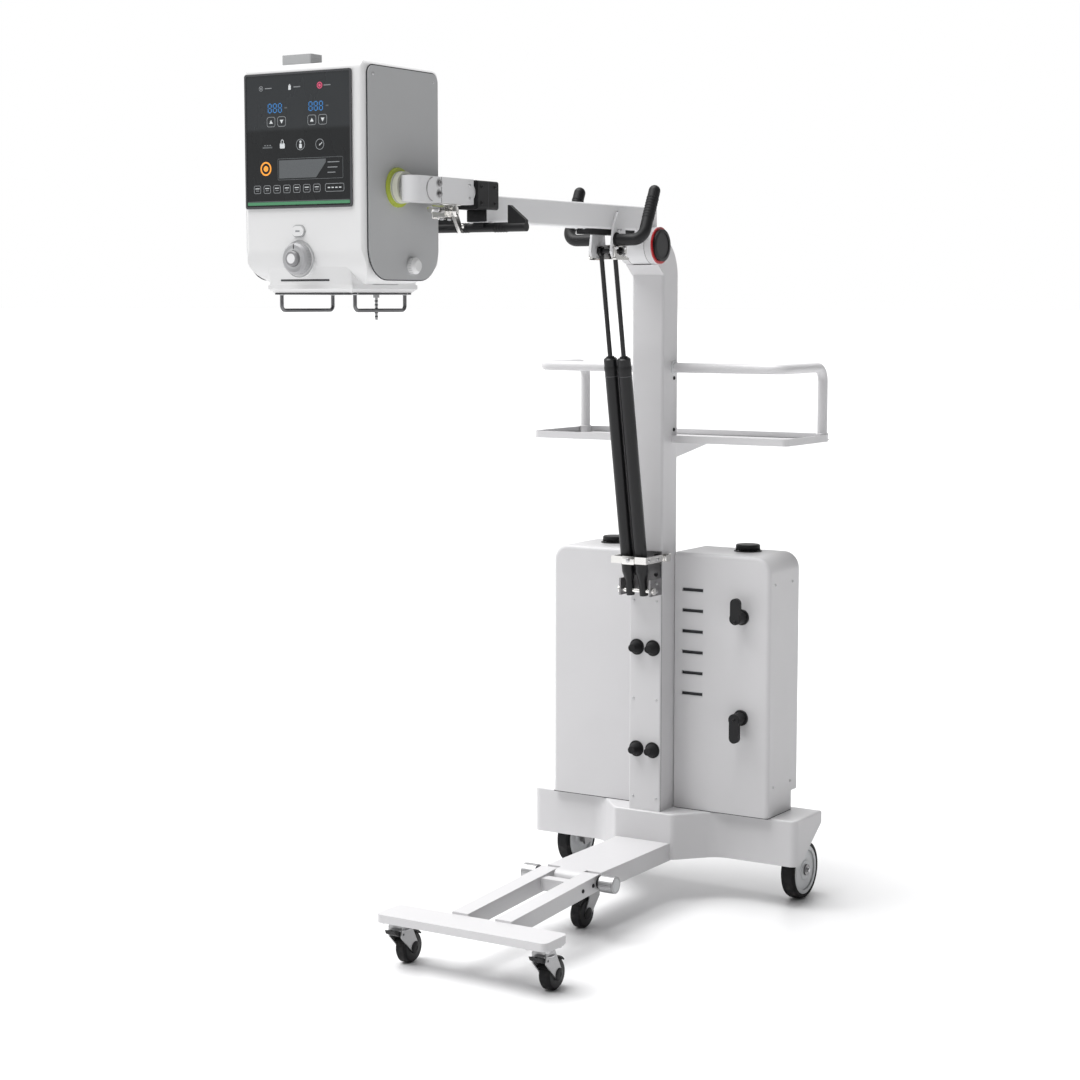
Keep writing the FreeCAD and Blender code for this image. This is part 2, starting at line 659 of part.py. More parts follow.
# Base: a cover that stands on a steel plate
base_outer = base_block("base_outer", "0", "base_bottom", "base_height")
top_level = size("base_top")
soften(base_outer, "base_outer_top", "base_edge_radius",
       lambda start, end: abs(start.z - top_level) < 0.01 and abs(end.z - top_level) < 0.01)
base_inner = base_block("base_inner", "base_wall", "base_bottom - 1", "base_height - base_wall + 1")
leg_slot = middle_box("leg_slot", "leg_half_width", "-base_nose_front", "leg_height",
                      ("base_nose_front - 20", "leg_bottom"))
column_slot = middle_box("column_slot", "column_half_width", "2 * column_half_depth", "base_height",
                         ("-column_half_depth", "leg_top"))
shell = cut("base_cover", base_outer, base_inner, underside("below_cover", "base_plate_thickness"),
            leg_slot, column_slot)
finish_subpart(shell, "base_shell")

plate_block = base_block("plate_block", "0", "base_bottom - 5", "base_rear_edge")
plate_slab = cut("plate_slab", underside("below_plate_top", "base_plate_thickness"),
                 underside("below_plate", "0"))
plate_leg_slot = middle_box("plate_leg_slot", "leg_half_width", "-base_nose_front - column_half_depth + 20",
                            "leg_height", ("base_nose_front - 20", "leg_bottom"))
plate = cut("plate_cut", common("plate_shape", plate_slab, plate_block), plate_leg_slot)
finish_subpart(plate, "base_plate")

# Leg: a box tube from the column to the hinge of the folding frame
leg_tube = middle_box("leg_tube", "leg_half_width", "-leg_head_front - column_half_depth", "leg_height",
                      ("leg_head_front", "leg_bottom"))
leg_bore = middle_box("leg_bore", "leg_half_width - leg_wall", "-leg_head_front - column_half_depth",
                      "leg_height - 2 * leg_wall", ("leg_head_front + 2 * leg_wall", "leg_bottom + leg_wall"))
knuckle = middle_box("leg_knuckle", "frame_rail_inner - part_gap", "hinge_forward + leg_head_front + 1",
                     "frame_rail_height", ("hinge_y", "frame_rail_low"))
knuckle_end = middle_cylinder("leg_knuckle_end", "frame_rail_height / 2", "frame_rail_inner - part_gap",
                              ("hinge_y", "hinge_height"))
middle_plate = middle_box("middle_caster_plate", "caster_plate_side / 2", "caster_plate_side",
                          "caster_plate_thickness", ("caster_middle - caster_plate_side / 2", "swivel_top"))
hinge_shaft = middle_cylinder("hinge_rod", "hinge_shaft_radius", "hinge_half_span", ("hinge_y", "hinge_height"))
leg = fuse("leg_joined", cut("leg_hollow", leg_tube, leg_bore), knuckle, knuckle_end, middle_plate, hinge_shaft)
finish_subpart(leg, "leg")

# Column: a box tube whose top bends forward and carries the arm's knuckles
column_body = prism("column_body", "YZ", [
    ("-column_half_depth", "column_foot"),
    ("column_half_depth", "column_foot"),
    ("column_half_depth", "pivot_z + 23"),
    ("pivot_y - 5", "pivot_z + 23"),
    ("pivot_y - 5", "pivot_z - 40"),
    ("-column_half_depth", "pivot_z - 60"),
], "2 * column_half_width", middle=True)
soften(column_body, "column_bend", "column_bend_radius",
       lambda start, end: along("x")(start, end) and start.y > 30 and start.z > size("pivot_z"))
soften(column_body, "column_edges", "column_edge_radius",
       lambda start, end: abs(start.x - end.x) < 0.01 and (
           min(start.y, end.y) > size("column_half_depth") - 0.01
           or (max(start.z, end.z) > size("pivot_z") + 22.9 and max(start.y, end.y) > 32)
           or max(start.y, end.y) < -size("column_half_depth") + 0.01
           and max(start.z, end.z) < size("pivot_z") - 59))
column_bore = middle_box("column_bore", "column_half_width - column_wall",
                         "2 * (column_half_depth - column_wall)", "pivot_z - 120 - column_foot",
                         ("-column_half_depth + column_wall", "column_foot + 10"))
knuckles = middle_cylinder("column_knuckles", "pivot_radius", "column_half_width", ("pivot_y", "pivot_z"))
barrel_slot = middle_cylinder("barrel_slot", "pivot_radius + 2", "barrel_half_width + part_gap",
                              ("pivot_y", "pivot_z"))
pivot_bore = middle_cylinder("pivot_bore", "pivot_shaft_radius + running_gap", "column_half_width + 1",
                             ("pivot_y", "pivot_z"))
column = cut("column_cut", fuse("column_joined", column_body, knuckles), column_bore, barrel_slot, pivot_bore)
finish_subpart(column, "column")

cover = middle_box("cover_block", "column_half_width", "cover_thickness", "cover_top - base_top",
                   ("-column_half_depth - cover_thickness", "base_top"))
cover = rounded("cover_rounded", cover, "cover_edge_radius",
                lambda start, end: along("z")(start, end) and start.y < -size("column_half_depth") - 1)
finish_subpart(cover, "column_cover")

# Cabinets on both sides of the column


def cabinet(side):
    """One hollow cabinet; side is 1 for the right and -1 for the left."""
    name = "right" if side > 0 else "left"
    sign = "" if side > 0 else "-"
    body = prism("cabinet_body_" + name, "XZ", [
        (sign + "cabinet_inner", "base_top"), (sign + "cabinet_outer", "base_top"),
        (sign + "cabinet_outer", "cabinet_top"), (sign + "cabinet_inner", "cabinet_top"),
    ], "cabinet_rear - cabinet_front", "-cabinet_rear")
    outer, inner, top = size("cabinet_outer"), size("cabinet_inner"), size("cabinet_top")
    soften(body, "cabinet_corner_" + name, "cabinet_top_radius",
           lambda start, end: along("y")(start, end) and abs(start.x) > outer - 1 and start.z > top - 1)
    front = size("cabinet_front")
    low = size("base_top")
    soften(body, "cabinet_edge_" + name, "cabinet_edge_radius",
           lambda start, end: max(abs(start.y - front), abs(end.y - front)) < 0.01
           and max(start.z, end.z) > low + 1 and max(abs(start.x), abs(end.x)) > inner + 20)
    wide = "cabinet_outer - cabinet_inner - 2 * cabinet_wall"
    x_low = "cabinet_inner + cabinet_wall" if side > 0 else "-cabinet_outer + cabinet_wall"
    hollow = box("cabinet_hollow_" + name, wide, "cabinet_rear - cabinet_front - 2 * cabinet_wall",
                 "cabinet_top - cabinet_step_top - 2 * cabinet_wall",
                 (x_low, "cabinet_front + cabinet_wall", "cabinet_step_top + cabinet_wall"))
    hollow = rounded("cabinet_hollow_round_" + name, hollow, "cabinet_top_radius",
                     lambda start, end: along("y")(start, end) and abs(start.x) > outer - size("cabinet_wall") - 1
                     and start.z > top - size("cabinet_wall") - 1)
    foot = box("cabinet_foot_" + name, wide,
               "cabinet_rear - cabinet_front - 2 * cabinet_wall - cabinet_step_depth",
               "cabinet_step_top - base_top + cabinet_wall",
               (x_low, "cabinet_front + cabinet_wall", "base_top + cabinet_wall"))
    step = box("cabinet_step_" + name, "cabinet_outer - cabinet_inner", "cabinet_step_depth",
               "cabinet_step_top - base_top",
               ("cabinet_inner" if side > 0 else "-cabinet_outer", "cabinet_rear - cabinet_step_depth",
                "base_top"))
    tools = [hollow, foot, step]
    if side > 0:
        for number in range(int(size("vent_count"))):
            tools.append(box("vent_%d" % number, "vent_width", "3 * cabinet_wall", "vent_height",
                             ("vent_left", "cabinet_front - cabinet_wall",
                              "vent_low - vent_height / 2 + vent_pitch * %d" % number)))
    return cut("cabinet_" + name + "_cut", body, *tools)


finish_subpart(cabinet(-1), "cabinet_left")
finish_subpart(cabinet(1), "cabinet_right")


def two_sides(name, make):
    """Two separate solids, one on either side."""
    return group(name, make("_right", ""), make("_left", "-"))


def cable_cap(tail, sign):
    """A dish-shaped cap on a cabinet's top."""
    return turned("cap" + tail, [
        ("0", "0"), ("knob_radius * 0.7", "0"), ("knob_radius", "knob_height * 0.5"),
        ("knob_radius", "knob_height - 2"), ("knob_radius - 2", "knob_height"), ("0", "knob_height"),
    ], (sign + "knob_offset", "knob_rear", "cabinet_top"))


finish_subpart(two_sides("cable_caps_pair", cable_cap), "cable_caps")


def hook(tail, height, up):
    """A stem with an upright bar that holds the wound cord."""
    stem = cylinder("hook_stem" + tail, "hook_stem_radius", "hook_reach - 1",
                    ("hook_offset", "cabinet_front", height), "-Y")
    y_low = "cabinet_front - hook_reach"
    z_low = height + (" - 7" if up else " - hook_upright")
    bar = box("hook_bar" + tail, "2 * hook_stem_radius - 4", "hook_thickness", "hook_upright",
              ("hook_offset - hook_stem_radius + 2", y_low, z_low))
    foot = cylinder("hook_foot" + tail, "hook_stem_radius - 2", "hook_thickness",
                    ("hook_offset", y_low + " + hook_thickness", height + (" - 7" if up else "")), "-Y")
    tip = cylinder("hook_tip" + tail, "hook_stem_radius - 2", "hook_thickness",
                   ("hook_offset", y_low + " + hook_thickness",
                    height + (" + hook_upright - 7" if up else " - hook_upright")), "-Y")
    return fuse("hook" + tail, stem, bar, foot, tip)


finish_subpart(group("hooks", hook("_upper", "hook_upper", True), hook("_lower", "hook_lower", False)),
               "cord_hooks")

cones = []
for number, level in enumerate(("buffer_upper", "buffer_lower")):
    for tail, sign in (("_right", ""), ("_left", "-")):
        cones.append(cone("buffer%s_%d" % (tail, number), "buffer_radius", "buffer_tip_radius",
                          "buffer_length",
                          (sign + "buffer_spacing / 2", "-column_half_depth - cover_thickness", level), "-Y"))
finish_subpart(group("buffer_set", *cones), "buffers")


def pack(tail, sign):
    """A power pack on the cabinet's floor."""
    x_low = "(cabinet_inner + cabinet_outer - pack_width) / 2"
    if sign:
        x_low = "-(cabinet_inner + cabinet_outer + pack_width) / 2"
    return box("pack" + tail, "pack_width", "pack_depth", "pack_height",
               (x_low, "cabinet_front + cabinet_wall + 3", "base_top + cabinet_wall"))


finish_subpart(two_sides("pack_pair", pack), "power_packs")

# Tray with its brackets, and the rails above it


def tray_block(name, inset, low, height):
    """A block with the tray's plan and rounded corners."""
    half = "tray_half_width - (%s)" % inset
    body = prism(name, "XY", mirrored([(half, "tray_front + (%s)" % inset),
                                       (half, "tray_rear - (%s)" % inset)]), height, low)
    middle = size("tray_rear") / 2
    soften(body, name + "_rear", "tray_rear_radius - (%s)" % inset,
           lambda start, end: along("z")(start, end) and start.y > middle)
    soften(body, name + "_front", "tray_front_radius - (%s)" % inset,
           lambda start, end: along("z")(start, end) and start.y < middle
           and abs(start.x) > size("tray_half_width") - 12)
    return body


brackets = []
for tail, x_low in (("_right", "bracket_offset"), ("_left", "-bracket_offset - 6")):
    brackets.append(prism("tray_bracket" + tail, "YZ", [
        ("column_half_depth", "tray_bottom - bracket_drop"),
        ("column_half_depth + 12", "tray_bottom - bracket_drop"),
        ("column_half_depth + bracket_length", "tray_bottom - 8"),
        ("column_half_depth + bracket_length", "tray_bottom + 1"),
        ("column_half_depth", "tray_bottom + 1"),
    ], "6", x_low))
for tail, sign in (("_right", ""), ("_left", "-")):
    brackets.append(cylinder("post_boss" + tail, "post_boss_radius", "tray_rim",
                             (sign + "rail_side", "rail_post", "tray_bottom")))
tray_notch = middle_box("tray_notch", "column_half_width", "2 * column_half_depth", "4 * tray_rim",
                        ("-column_half_depth", "tray_bottom - tray_rim"))
tray = cut("tray_cut", fuse("tray_joined", cut(
    "tray_dish", tray_block("tray_outer", "0", "tray_bottom", "tray_rim"),
    tray_block("tray_inner", "tray_wall", "tray_bottom + tray_floor", "tray_rim")), *brackets), tray_notch)
finish_subpart(tray, "tray")

rails = []
for tail, side in (("right", 1), ("left", -1)):
    rails.append(bent_rod("rail_" + tail, [
        (side * size("column_half_width"), size("rail_front"), size("rail_height")),
        (side * size("rail_side"), size("rail_front"), size("rail_height")),
        (side * size("rail_side"), size("rail_post"), size("rail_height")),
        (side * size("rail_side"), size("rail_post"), size("tray_bottom") + size("tray_rim")),
    ], size("rail_radius"), size("rail_bend")))
finish_subpart(group("rail_pair", *rails), "tray_rails")

# Lower bracket, pin and strap of the gas springs
back_plate = middle_box("bracket_back", "column_half_width", "cover_thickness", "bracket_height",
                        ("-column_half_depth - cover_thickness", "cover_top"))
cheeks = []
for tail, x_low in (("_right", "column_half_width - cheek_thickness"), ("_left", "-column_half_width")):
    cheeks.append(box("bracket_cheek" + tail, "cheek_thickness",
                      "lower_joint_forward + cheek_margin - cover_thickness", "cheek_height",
                      (x_low, "lower_y - cheek_margin", "cover_top")))
pin_bore = middle_cylinder("bracket_pin_bore", "pin_radius + running_gap", "column_half_width + 1",
                           ("lower_y", "lower_z"))
bracket = cut("bracket_cut", fuse("bracket_joined", back_plate, *cheeks), pin_bore)
finish_subpart(bracket, "spring_bracket")

spring_pin = fuse("spring_pin_joined",
                  middle_cylinder("spring_pin_rod", "pin_radius", "column_half_width + 5", ("lower_y", "lower_z")),
                  cylinder("spring_pin_head_right", "pin_radius + 3", "4",
                           ("column_half_width", "lower_y", "lower_z"), "X"),
                  cylinder("spring_pin_head_left", "pin_radius + 3", "4",
                           ("-column_half_width - 4", "lower_y", "lower_z"), "X"))
finish_subpart(spring_pin, "spring_pin")

strap_outer = middle_box("strap_outer", "column_half_width + strap_thickness", "strap_length", "strap_height",
                         ("lower_y - strap_forward", "lower_z + strap_rise"))
strap_inner = middle_box("strap_inner", "column_half_width", "strap_length", "strap_height + 2",
                         ("lower_y - strap_forward + strap_thickness", "lower_z + strap_rise - 1"))
finish_subpart(cut("strap_cut", strap_outer, strap_inner), "spring_strap")

# The arm's pivot
shaft = fuse("pivot_shaft_joined",
             cylinder("pivot_shaft_rod", "pivot_shaft_radius", "2 * column_half_width + pivot_ring_thickness + 1",
                      ("-column_half_width - 1", "pivot_y", "pivot_z"), "X"),
             cylinder("pivot_shaft_cap", "pivot_cap_radius", "pivot_cap_thickness",
                      ("column_half_width + pivot_ring_thickness", "pivot_y", "pivot_z"), "X"),
             cylinder("pivot_shaft_nut", "pivot_shaft_radius + 8", "6",
                      ("-column_half_width - 6", "pivot_y", "pivot_z"), "X"))
finish_subpart(shaft, "pivot_shaft")
ring = cut("pivot_ring_cut",
           cylinder("pivot_ring_disc", "pivot_radius", "pivot_ring_thickness",
                    ("column_half_width", "pivot_y", "pivot_z"), "X"),
           cylinder("pivot_ring_bore", "pivot_shaft_radius + part_gap", "pivot_ring_thickness + 2",
                    ("column_half_width - 1", "pivot_y", "pivot_z"), "X"))
finish_subpart(ring, "pivot_ring")

# Rear wheels on plates below the base
base_line = "base_bottom + slant * (%s - base_slant_start)"


def wheel_plate(tail, sign):
    """A steel plate with a stub axle."""
    first, last = "wheel_rear - wheel_plate_ahead", "wheel_rear + wheel_plate_behind"
    x_low = "wheel_plate_x" if not sign else "-wheel_plate_x - wheel_plate_thickness"
    body = prism("wheel_plate" + tail, "YZ", [
        (first, base_line % first), ("wheel_rear - wheel_plate_behind", "wheel_radius - wheel_plate_drop"),
        (last, "wheel_radius - wheel_plate_drop"),
        (last, base_line % last),
    ], "wheel_plate_thickness", x_low)
    start = "wheel_plate_x" if not sign else "-wheel_outer - part_gap - 4"
    end_cap = "wheel_outer + part_gap" if not sign else "-wheel_outer - part_gap - 4"
    collar = "wheel_plate_x + 1" if not sign else "-wheel_inner + part_gap"
    return fuse("wheel_plate_joined" + tail, body,
                cylinder("wheel_axle" + tail, "wheel_axle_radius",
                         "wheel_outer + part_gap + 4 - wheel_plate_x", (start, "wheel_rear", "wheel_radius"), "X"),
                cylinder("wheel_cap" + tail, "wheel_axle_radius + 4", "4",
                         (end_cap, "wheel_rear", "wheel_radius"), "X"),
                cylinder("wheel_collar" + tail, "wheel_axle_radius + 4",
                         "wheel_inner - part_gap - wheel_plate_x - 1", (collar, "wheel_rear", "wheel_radius"), "X"))


finish_subpart(two_sides("wheel_plate_pair", wheel_plate), "wheel_plates")

for tail, start in (("left", "-wheel_outer"), ("right", "wheel_inner")):
    place = (start, "wheel_rear", "wheel_radius")
    tyre = turned("tyre_body_" + tail, [
        ("wheel_rim_radius", "2"), ("wheel_rim_radius + 3", "2"), ("wheel_rim_radius + 3", "0"),
        ("wheel_radius - 5", "0"), ("wheel_radius", "5"), ("wheel_radius", "wheel_width - 5"),
        ("wheel_radius - 5", "wheel_width"), ("wheel_rim_radius + 3", "wheel_width"),
        ("wheel_rim_radius + 3", "wheel_width - 2"), ("wheel_rim_radius", "wheel_width - 2"),
    ], place, "X")
    finish_subpart(tyre, "tyre_" + tail)
    rim = "wheel_rim_radius - part_gap"
    hub = turned("hub_body_" + tail, [
        ("wheel_axle_radius + running_gap", "0"), ("wheel_axle_radius + 12", "0"),
        ("wheel_axle_radius + 16", "4"), (rim + " - 6", "4"), (rim + " - 4", "0"),
        ("wheel_rim_radius + 2", "0"), ("wheel_rim_radius + 2", "2"), (rim, "2"),
        (rim, "wheel_width - 2"), ("wheel_rim_radius + 2", "wheel_width - 2"),
        ("wheel_rim_radius + 2", "wheel_width"), (rim + " - 4", "wheel_width"),
        (rim + " - 6", "wheel_width - 4"), ("wheel_axle_radius + 16", "wheel_width - 4"),
        ("wheel_axle_radius + 12", "wheel_width"), ("wheel_axle_radius + running_gap", "wheel_width"),
    ], place, "X")
    finish_subpart(hub, "hub_" + tail)

# Folding frame in front of the leg, with its clamp knobs
knob_start = "frame_rail_inner + frame_rail_width + hinge_knob_gap"
for tail, start, turn in (("right", knob_start, ""), ("left", "-(%s) - hinge_knob_length" % knob_start, "-")):
    knob = cylinder("hinge_knob_body_" + tail, "hinge_knob_radius", "hinge_knob_length",
                    (start, "hinge_y", "hinge_height"), "X")
    bore = middle_cylinder("hinge_knob_bore_" + tail, "hinge_shaft_radius + running_gap",
                           "hinge_half_span + 0.5", ("hinge_y", "hinge_height"))
    finish_subpart(cut("hinge_knob_cut_" + tail, knob, bore), "hinge_knob_" + tail)


def rail_side_view(inset, front, rear):
    """A folding rail seen from the side; it runs down from the hinge to the platform's top."""
    def level(y, side):
        fall = "frame_slope * (hinge_y - (%s)) / (hinge_y - platform_rear)" % y
        return "hinge_height - %s %s (frame_rail_height / 2 - (%s))" % (fall, side, inset)
    return [(front, level(front, "-")), (rear, level(rear, "-")), (rear, level(rear, "+")),
            (front, level(front, "+"))]


frame_pieces = []
frame_bores = [middle_cylinder("frame_bore", "hinge_shaft_radius + running_gap", "leg_half_width + 20",
                               ("hinge_y", "hinge_height"))]
for tail, x_low in (("_right", "frame_rail_inner"), ("_left", "-frame_rail_inner - frame_rail_width")):
    frame_pieces.append(prism("frame_rail" + tail, "YZ", rail_side_view("0", "platform_rear - 1", "hinge_y"),
                              "frame_rail_width", x_low))
    frame_pieces.append(cylinder("frame_end" + tail, "frame_rail_height / 2", "frame_rail_width",
                                 (x_low, "hinge_y", "hinge_height"), "X"))
    frame_bores.append(prism("frame_rail_bore" + tail, "YZ",
                             rail_side_view("frame_rail_wall", "platform_rear + 2", "hinge_y - 24"),
                             "frame_rail_width - 2 * frame_rail_wall", x_low + " + frame_rail_wall"))
frame_pieces.append(middle_box("frame_cross", "frame_rail_inner + 1", "cross_length", "frame_rail_height - 8",
                               ("hinge_y - 63", "frame_rail_low + 1")))
platform = prism("platform_body", "XY", mirrored([
    ("platform_half_width", "platform_front"), ("platform_half_width", "platform_rear")]),
    "platform_thickness", "leg_bottom")
soften(platform, "platform_corners", "platform_radius", along("z"))
frame_pieces.append(platform)
for tail, x_middle in (("_right", "caster_offset"), ("_left", "-caster_offset")):
    frame_pieces.append(box("caster_plate" + tail, "caster_plate_side", "caster_plate_side",
                            "caster_plate_thickness",
                            (x_middle + " - caster_plate_side / 2", "caster_front - caster_plate_side / 2",
                             "swivel_top")))
frame = cut("frame_cut", fuse("frame_joined", *frame_pieces), *frame_bores)
finish_subpart(frame, "folding_frame")

# Casters


def caster(name, x, y, way, braked):
    """A swivelling fork with its wheel, and a brake pedal where there is one."""
    def ahead(text):
        return "(%s) %s (%s)" % (y, "+" if way > 0 else "-", text)

    def block(label, half, near, far, low, high):
        start = near if way > 0 else far
        return box(label, "2 * (%s)" % half, "(%s) - (%s)" % (far, near), "(%s) - (%s)" % (high, low),
                   ("(%s) - (%s)" % (x, half), ahead(start), low))

    inner = "caster_width / 2 + 1"
    outer = "caster_width / 2 + 1 + caster_cheek"
    pieces = [cylinder(name + "_head", "caster_head_radius", "caster_head_height", (x, y, "swivel_low")),
              block(name + "_bridge", outer, "-16", "16", "swivel_low - 6", "swivel_low + 1")]
    for tail, x_low in (("_right", "(%s) + %s" % (x, inner)), ("_left", "(%s) - (%s)" % (x, outer))):
        pieces.append(prism(name + "_cheek" + tail, "YZ", [
            (ahead("-16"), "swivel_low"), (ahead("16"), "swivel_low"),
            (ahead("caster_trail + 9"), "caster_radius + 8"), (ahead("caster_trail + 9"), "caster_radius - 7"),
            (ahead("caster_trail - 9"), "caster_radius - 7"), (ahead("-16"), "swivel_low - 20"),
        ], "caster_cheek", x_low))
    pieces.append(cylinder(name + "_axle", "caster_axle_radius", "2 * (%s)" % outer,
                           ("(%s) - (%s)" % (x, outer), ahead("caster_trail"), "caster_radius"), "X"))
    fork = fuse(name + "_fork_joined", *pieces)
    if braked:
        bore = cylinder(name + "_pedal_bore", "2.5 + running_gap", "2 * (%s) + 2" % outer,
                        ("(%s) - (%s) - 1" % (x, outer), ahead("-10"), "swivel_low - 14"), "X")
        fork = cut(name + "_fork_cut", fork, bore)
        pedal = fuse(name + "_pedal_joined",
                     cylinder(name + "_pedal_pin", "2.5", "2 * (%s)" % outer,
                              ("(%s) - (%s)" % (x, outer), ahead("-10"), "swivel_low - 14"), "X"),
                     cylinder(name + "_pedal_barrel", "5", "2 * (%s) - 0.6" % inner,
                              ("(%s) - (%s) + 0.3" % (x, inner), ahead("-10"), "swivel_low - 14"), "X"),
                     prism(name + "_pedal_plate", "YZ", [
                         (ahead("-34"), "swivel_low - 3"), (ahead("-30"), "swivel_low - 11"),
                         (ahead("-14"), "swivel_low - 19"), (ahead("-9"), "swivel_low - 13"),
                         (ahead("-13"), "swivel_low - 7"), (ahead("-18"), "swivel_low - 7"),
                     ], "caster_width", "(%s) - caster_width / 2" % x))
        finish_subpart(pedal, name.replace("caster", "pedal"))
    finish_subpart(fork, name.replace("caster", "caster_fork"))
    wheel = turned(name + "_wheel", [
        ("caster_axle_radius + running_gap", "0"), ("caster_radius - 4", "0"), ("caster_radius", "4"),
        ("caster_radius", "caster_width - 4"), ("caster_radius - 4", "caster_width"),
        ("caster_axle_radius + running_gap", "caster_width"),
    ], ("(%s) - caster_width / 2" % x, ahead("caster_trail"), "caster_radius"), "X")
    finish_subpart(wheel, name.replace("caster", "caster_wheel"))


caster("caster_left", "-caster_offset", "caster_front", 1, True)
caster("caster_right", "caster_offset", "caster_front", 1, True)
caster("caster_middle", "0", "caster_middle", -1, False)

# Arm
beam_outer = middle_box("beam_outer", "arm_half_width", "arm_length + arm_tail", "arm_height",
                        ("arm_front", "arm_low"))
beam_outer = rounded("beam_rounded", beam_outer, "arm_edge_radius", along("y"))
beam_bore = middle_box("beam_bore", "arm_half_width - arm_wall", "arm_length + arm_tail - arm_wall",
                       "arm_height - 2 * arm_wall", ("arm_front - 1", "arm_low + arm_wall"))
saddle = middle_box("beam_saddle", "barrel_half_width", "pivot_radius + arm_tail", "arm_rise + arm_wall",
                    ("pivot_y - pivot_radius", "pivot_z"))
barrel = middle_cylinder("beam_barrel", "pivot_radius", "barrel_half_width", ("pivot_y", "pivot_z"))
barrel_bore = middle_cylinder("beam_pivot_bore", "pivot_shaft_radius + running_gap", "barrel_half_width + 1",
                              ("pivot_y", "pivot_z"))
beam = cut("beam_cut", fuse("beam_joined", cut("beam_hollow", beam_outer, beam_bore), saddle, barrel),
           barrel_bore)
finish_subpart(beam, "arm_beam")

block_body = middle_box("block_body", "block_half_width", "block_length", "block_height",
                        ("block_front_y", "block_low"))
block_body = rounded("block_rounded", block_body, "arm_edge_radius", along("y"))
block_socket = middle_box("block_socket", "arm_half_width", "block_length", "arm_height",
                          ("arm_front", "arm_low"))
roll_bore = cylinder("roll_bore", "roll_shaft_radius + running_gap", "roll_shaft_length + 2",
                     ("0", "block_front_y - 1", "nose_z"), "Y")
finish_subpart(cut("block_cut", block_body, block_socket, roll_bore), "arm_block")


def ear(tail, sign):
    """A plate on the arm's side that carries a grip."""
    x_low = "arm_half_width" if not sign else "-arm_half_width - ear_thickness"
    return prism("ear" + tail, "YZ", [
        ("upper_y - 6", "pivot_z + ear_apex"), ("upper_y + 6", "pivot_z + ear_apex"),
        ("upper_y + 22", "pivot_z + ear_apex - 26"), ("upper_y + ear_half_width", "pivot_z - ear_bottom + 12"),
        ("upper_y + ear_half_width - 7", "pivot_z - ear_bottom"),
        ("upper_y - ear_half_width + 7", "pivot_z - ear_bottom"),
        ("upper_y - ear_half_width", "pivot_z - ear_bottom + 12"), ("upper_y - 22", "pivot_z + ear_apex - 26"),
    ], "ear_thickness", x_low)


finish_subpart(two_sides("ear_pair", ear), "arm_ears")
finish_subpart(middle_box("arm_pad_block", "arm_half_width - pad_inset", "pad_length", "pad_thickness",
                          ("upper_y - pad_forward", "arm_low - pad_thickness")), "arm_pad")

grips = []
for tail, side in (("right", 1), ("left", -1)):
    level = size("pivot_z") + size("grip_rise")
    place = size("pivot_y") - size("grip_forward")
    grips.append(bent_rod("grip_" + tail, [
        (side * (size("arm_half_width") + size("ear_thickness")), place, level),
        (side * size("grip_half_span"), place, level),
        (side * size("grip_half_span"), place + size("grip_lean"), level + size("grip_upright")),
    ], size("grip_radius"), size("grip_bend"), True))
finish_subpart(group("grip_pair", *grips), "rear_grips")

yoke_pieces = [
    middle_cylinder("yoke_bar", "yoke_radius", "yoke_half_span",
                    ("yoke_y", "yoke_z")),
    middle_box("yoke_neck", "neck_half_width", "neck_depth", "arm_rise - yoke_rise",
               ("yoke_y - neck_depth / 2", "yoke_z")),
]
for tail, sign in (("_right", ""), ("_left", "-")):
    yoke_pieces.append(prism("yoke_fin" + tail, "XZ", [
        (sign + "(yoke_half_span - fin_length)", "yoke_z"),
        (sign + "yoke_half_span", "yoke_z"),
        (sign + "yoke_half_span", "yoke_z + fin_foot"),
        (sign + "(yoke_half_span - fin_length + fin_tip)", "yoke_z + fin_height"),
        (sign + "(yoke_half_span - fin_length)", "yoke_z + fin_height"),
    ], "fin_thickness", "-yoke_y - fin_thickness / 2"))
finish_subpart(fuse("yoke_joined", *yoke_pieces), "front_handle")

# Gas springs, drawn upright on their lower joint and then leaned forward
spring_solids = []
for tail, sign in (("_right", ""), ("_left", "-")):
    case = turned("spring" + tail, [
        ("0", "-eye_radius"), ("spring_foot_radius", "-eye_radius"), ("spring_foot_radius", "spring_taper / 2"),
        ("spring_radius", "spring_taper"), ("spring_radius", "spring_length - 3"),
        ("spring_radius - 3", "spring_length"), ("rod_radius + running_gap", "spring_length"),
        ("rod_radius + running_gap", "spring_length - 8"), ("spring_bore", "spring_length - 8"),
        ("spring_bore", "spring_taper + 6"), ("0", "spring_taper + 6"),
    ], (sign + "spring_spacing / 2", "0", "0"))
    eye_bore = middle_cylinder("spring_eye_bore" + tail, "pin_radius + running_gap", "spring_spacing",
                               ("0", "0"))
    spring_solids.append(cut("spring_cut" + tail, case, eye_bore))
lean_place = ("0", "lower_y", "lower_z")
finish_subpart(group("spring_pair", *spring_solids), "spring_cylinders", lean_place, "spring_lean")

rod_pieces = [middle_cylinder("rod_pin", "pin_radius", "arm_half_width - 0.5", ("0", "spring_span"))]
for tail, sign in (("_right", ""), ("_left", "-")):
    centre = sign + "spring_spacing / 2"
    rod_pieces.append(cylinder("rod" + tail, "rod_radius", "spring_span - spring_length + rod_inside",
                               (centre, "0", "spring_length - rod_inside")))
    rod_pieces.append(cylinder("piston" + tail, "spring_bore - running_gap", "12",
                               (centre, "0", "spring_length - rod_inside")))
    rod_pieces.append(cylinder("rod_eye" + tail, "eye_radius", "eye_width",
                               (centre + " - eye_width / 2", "0", "spring_span"), "X"))
finish_subpart(fuse("rods_joined", *rod_pieces), "spring_rods", lean_place, "spring_lean")

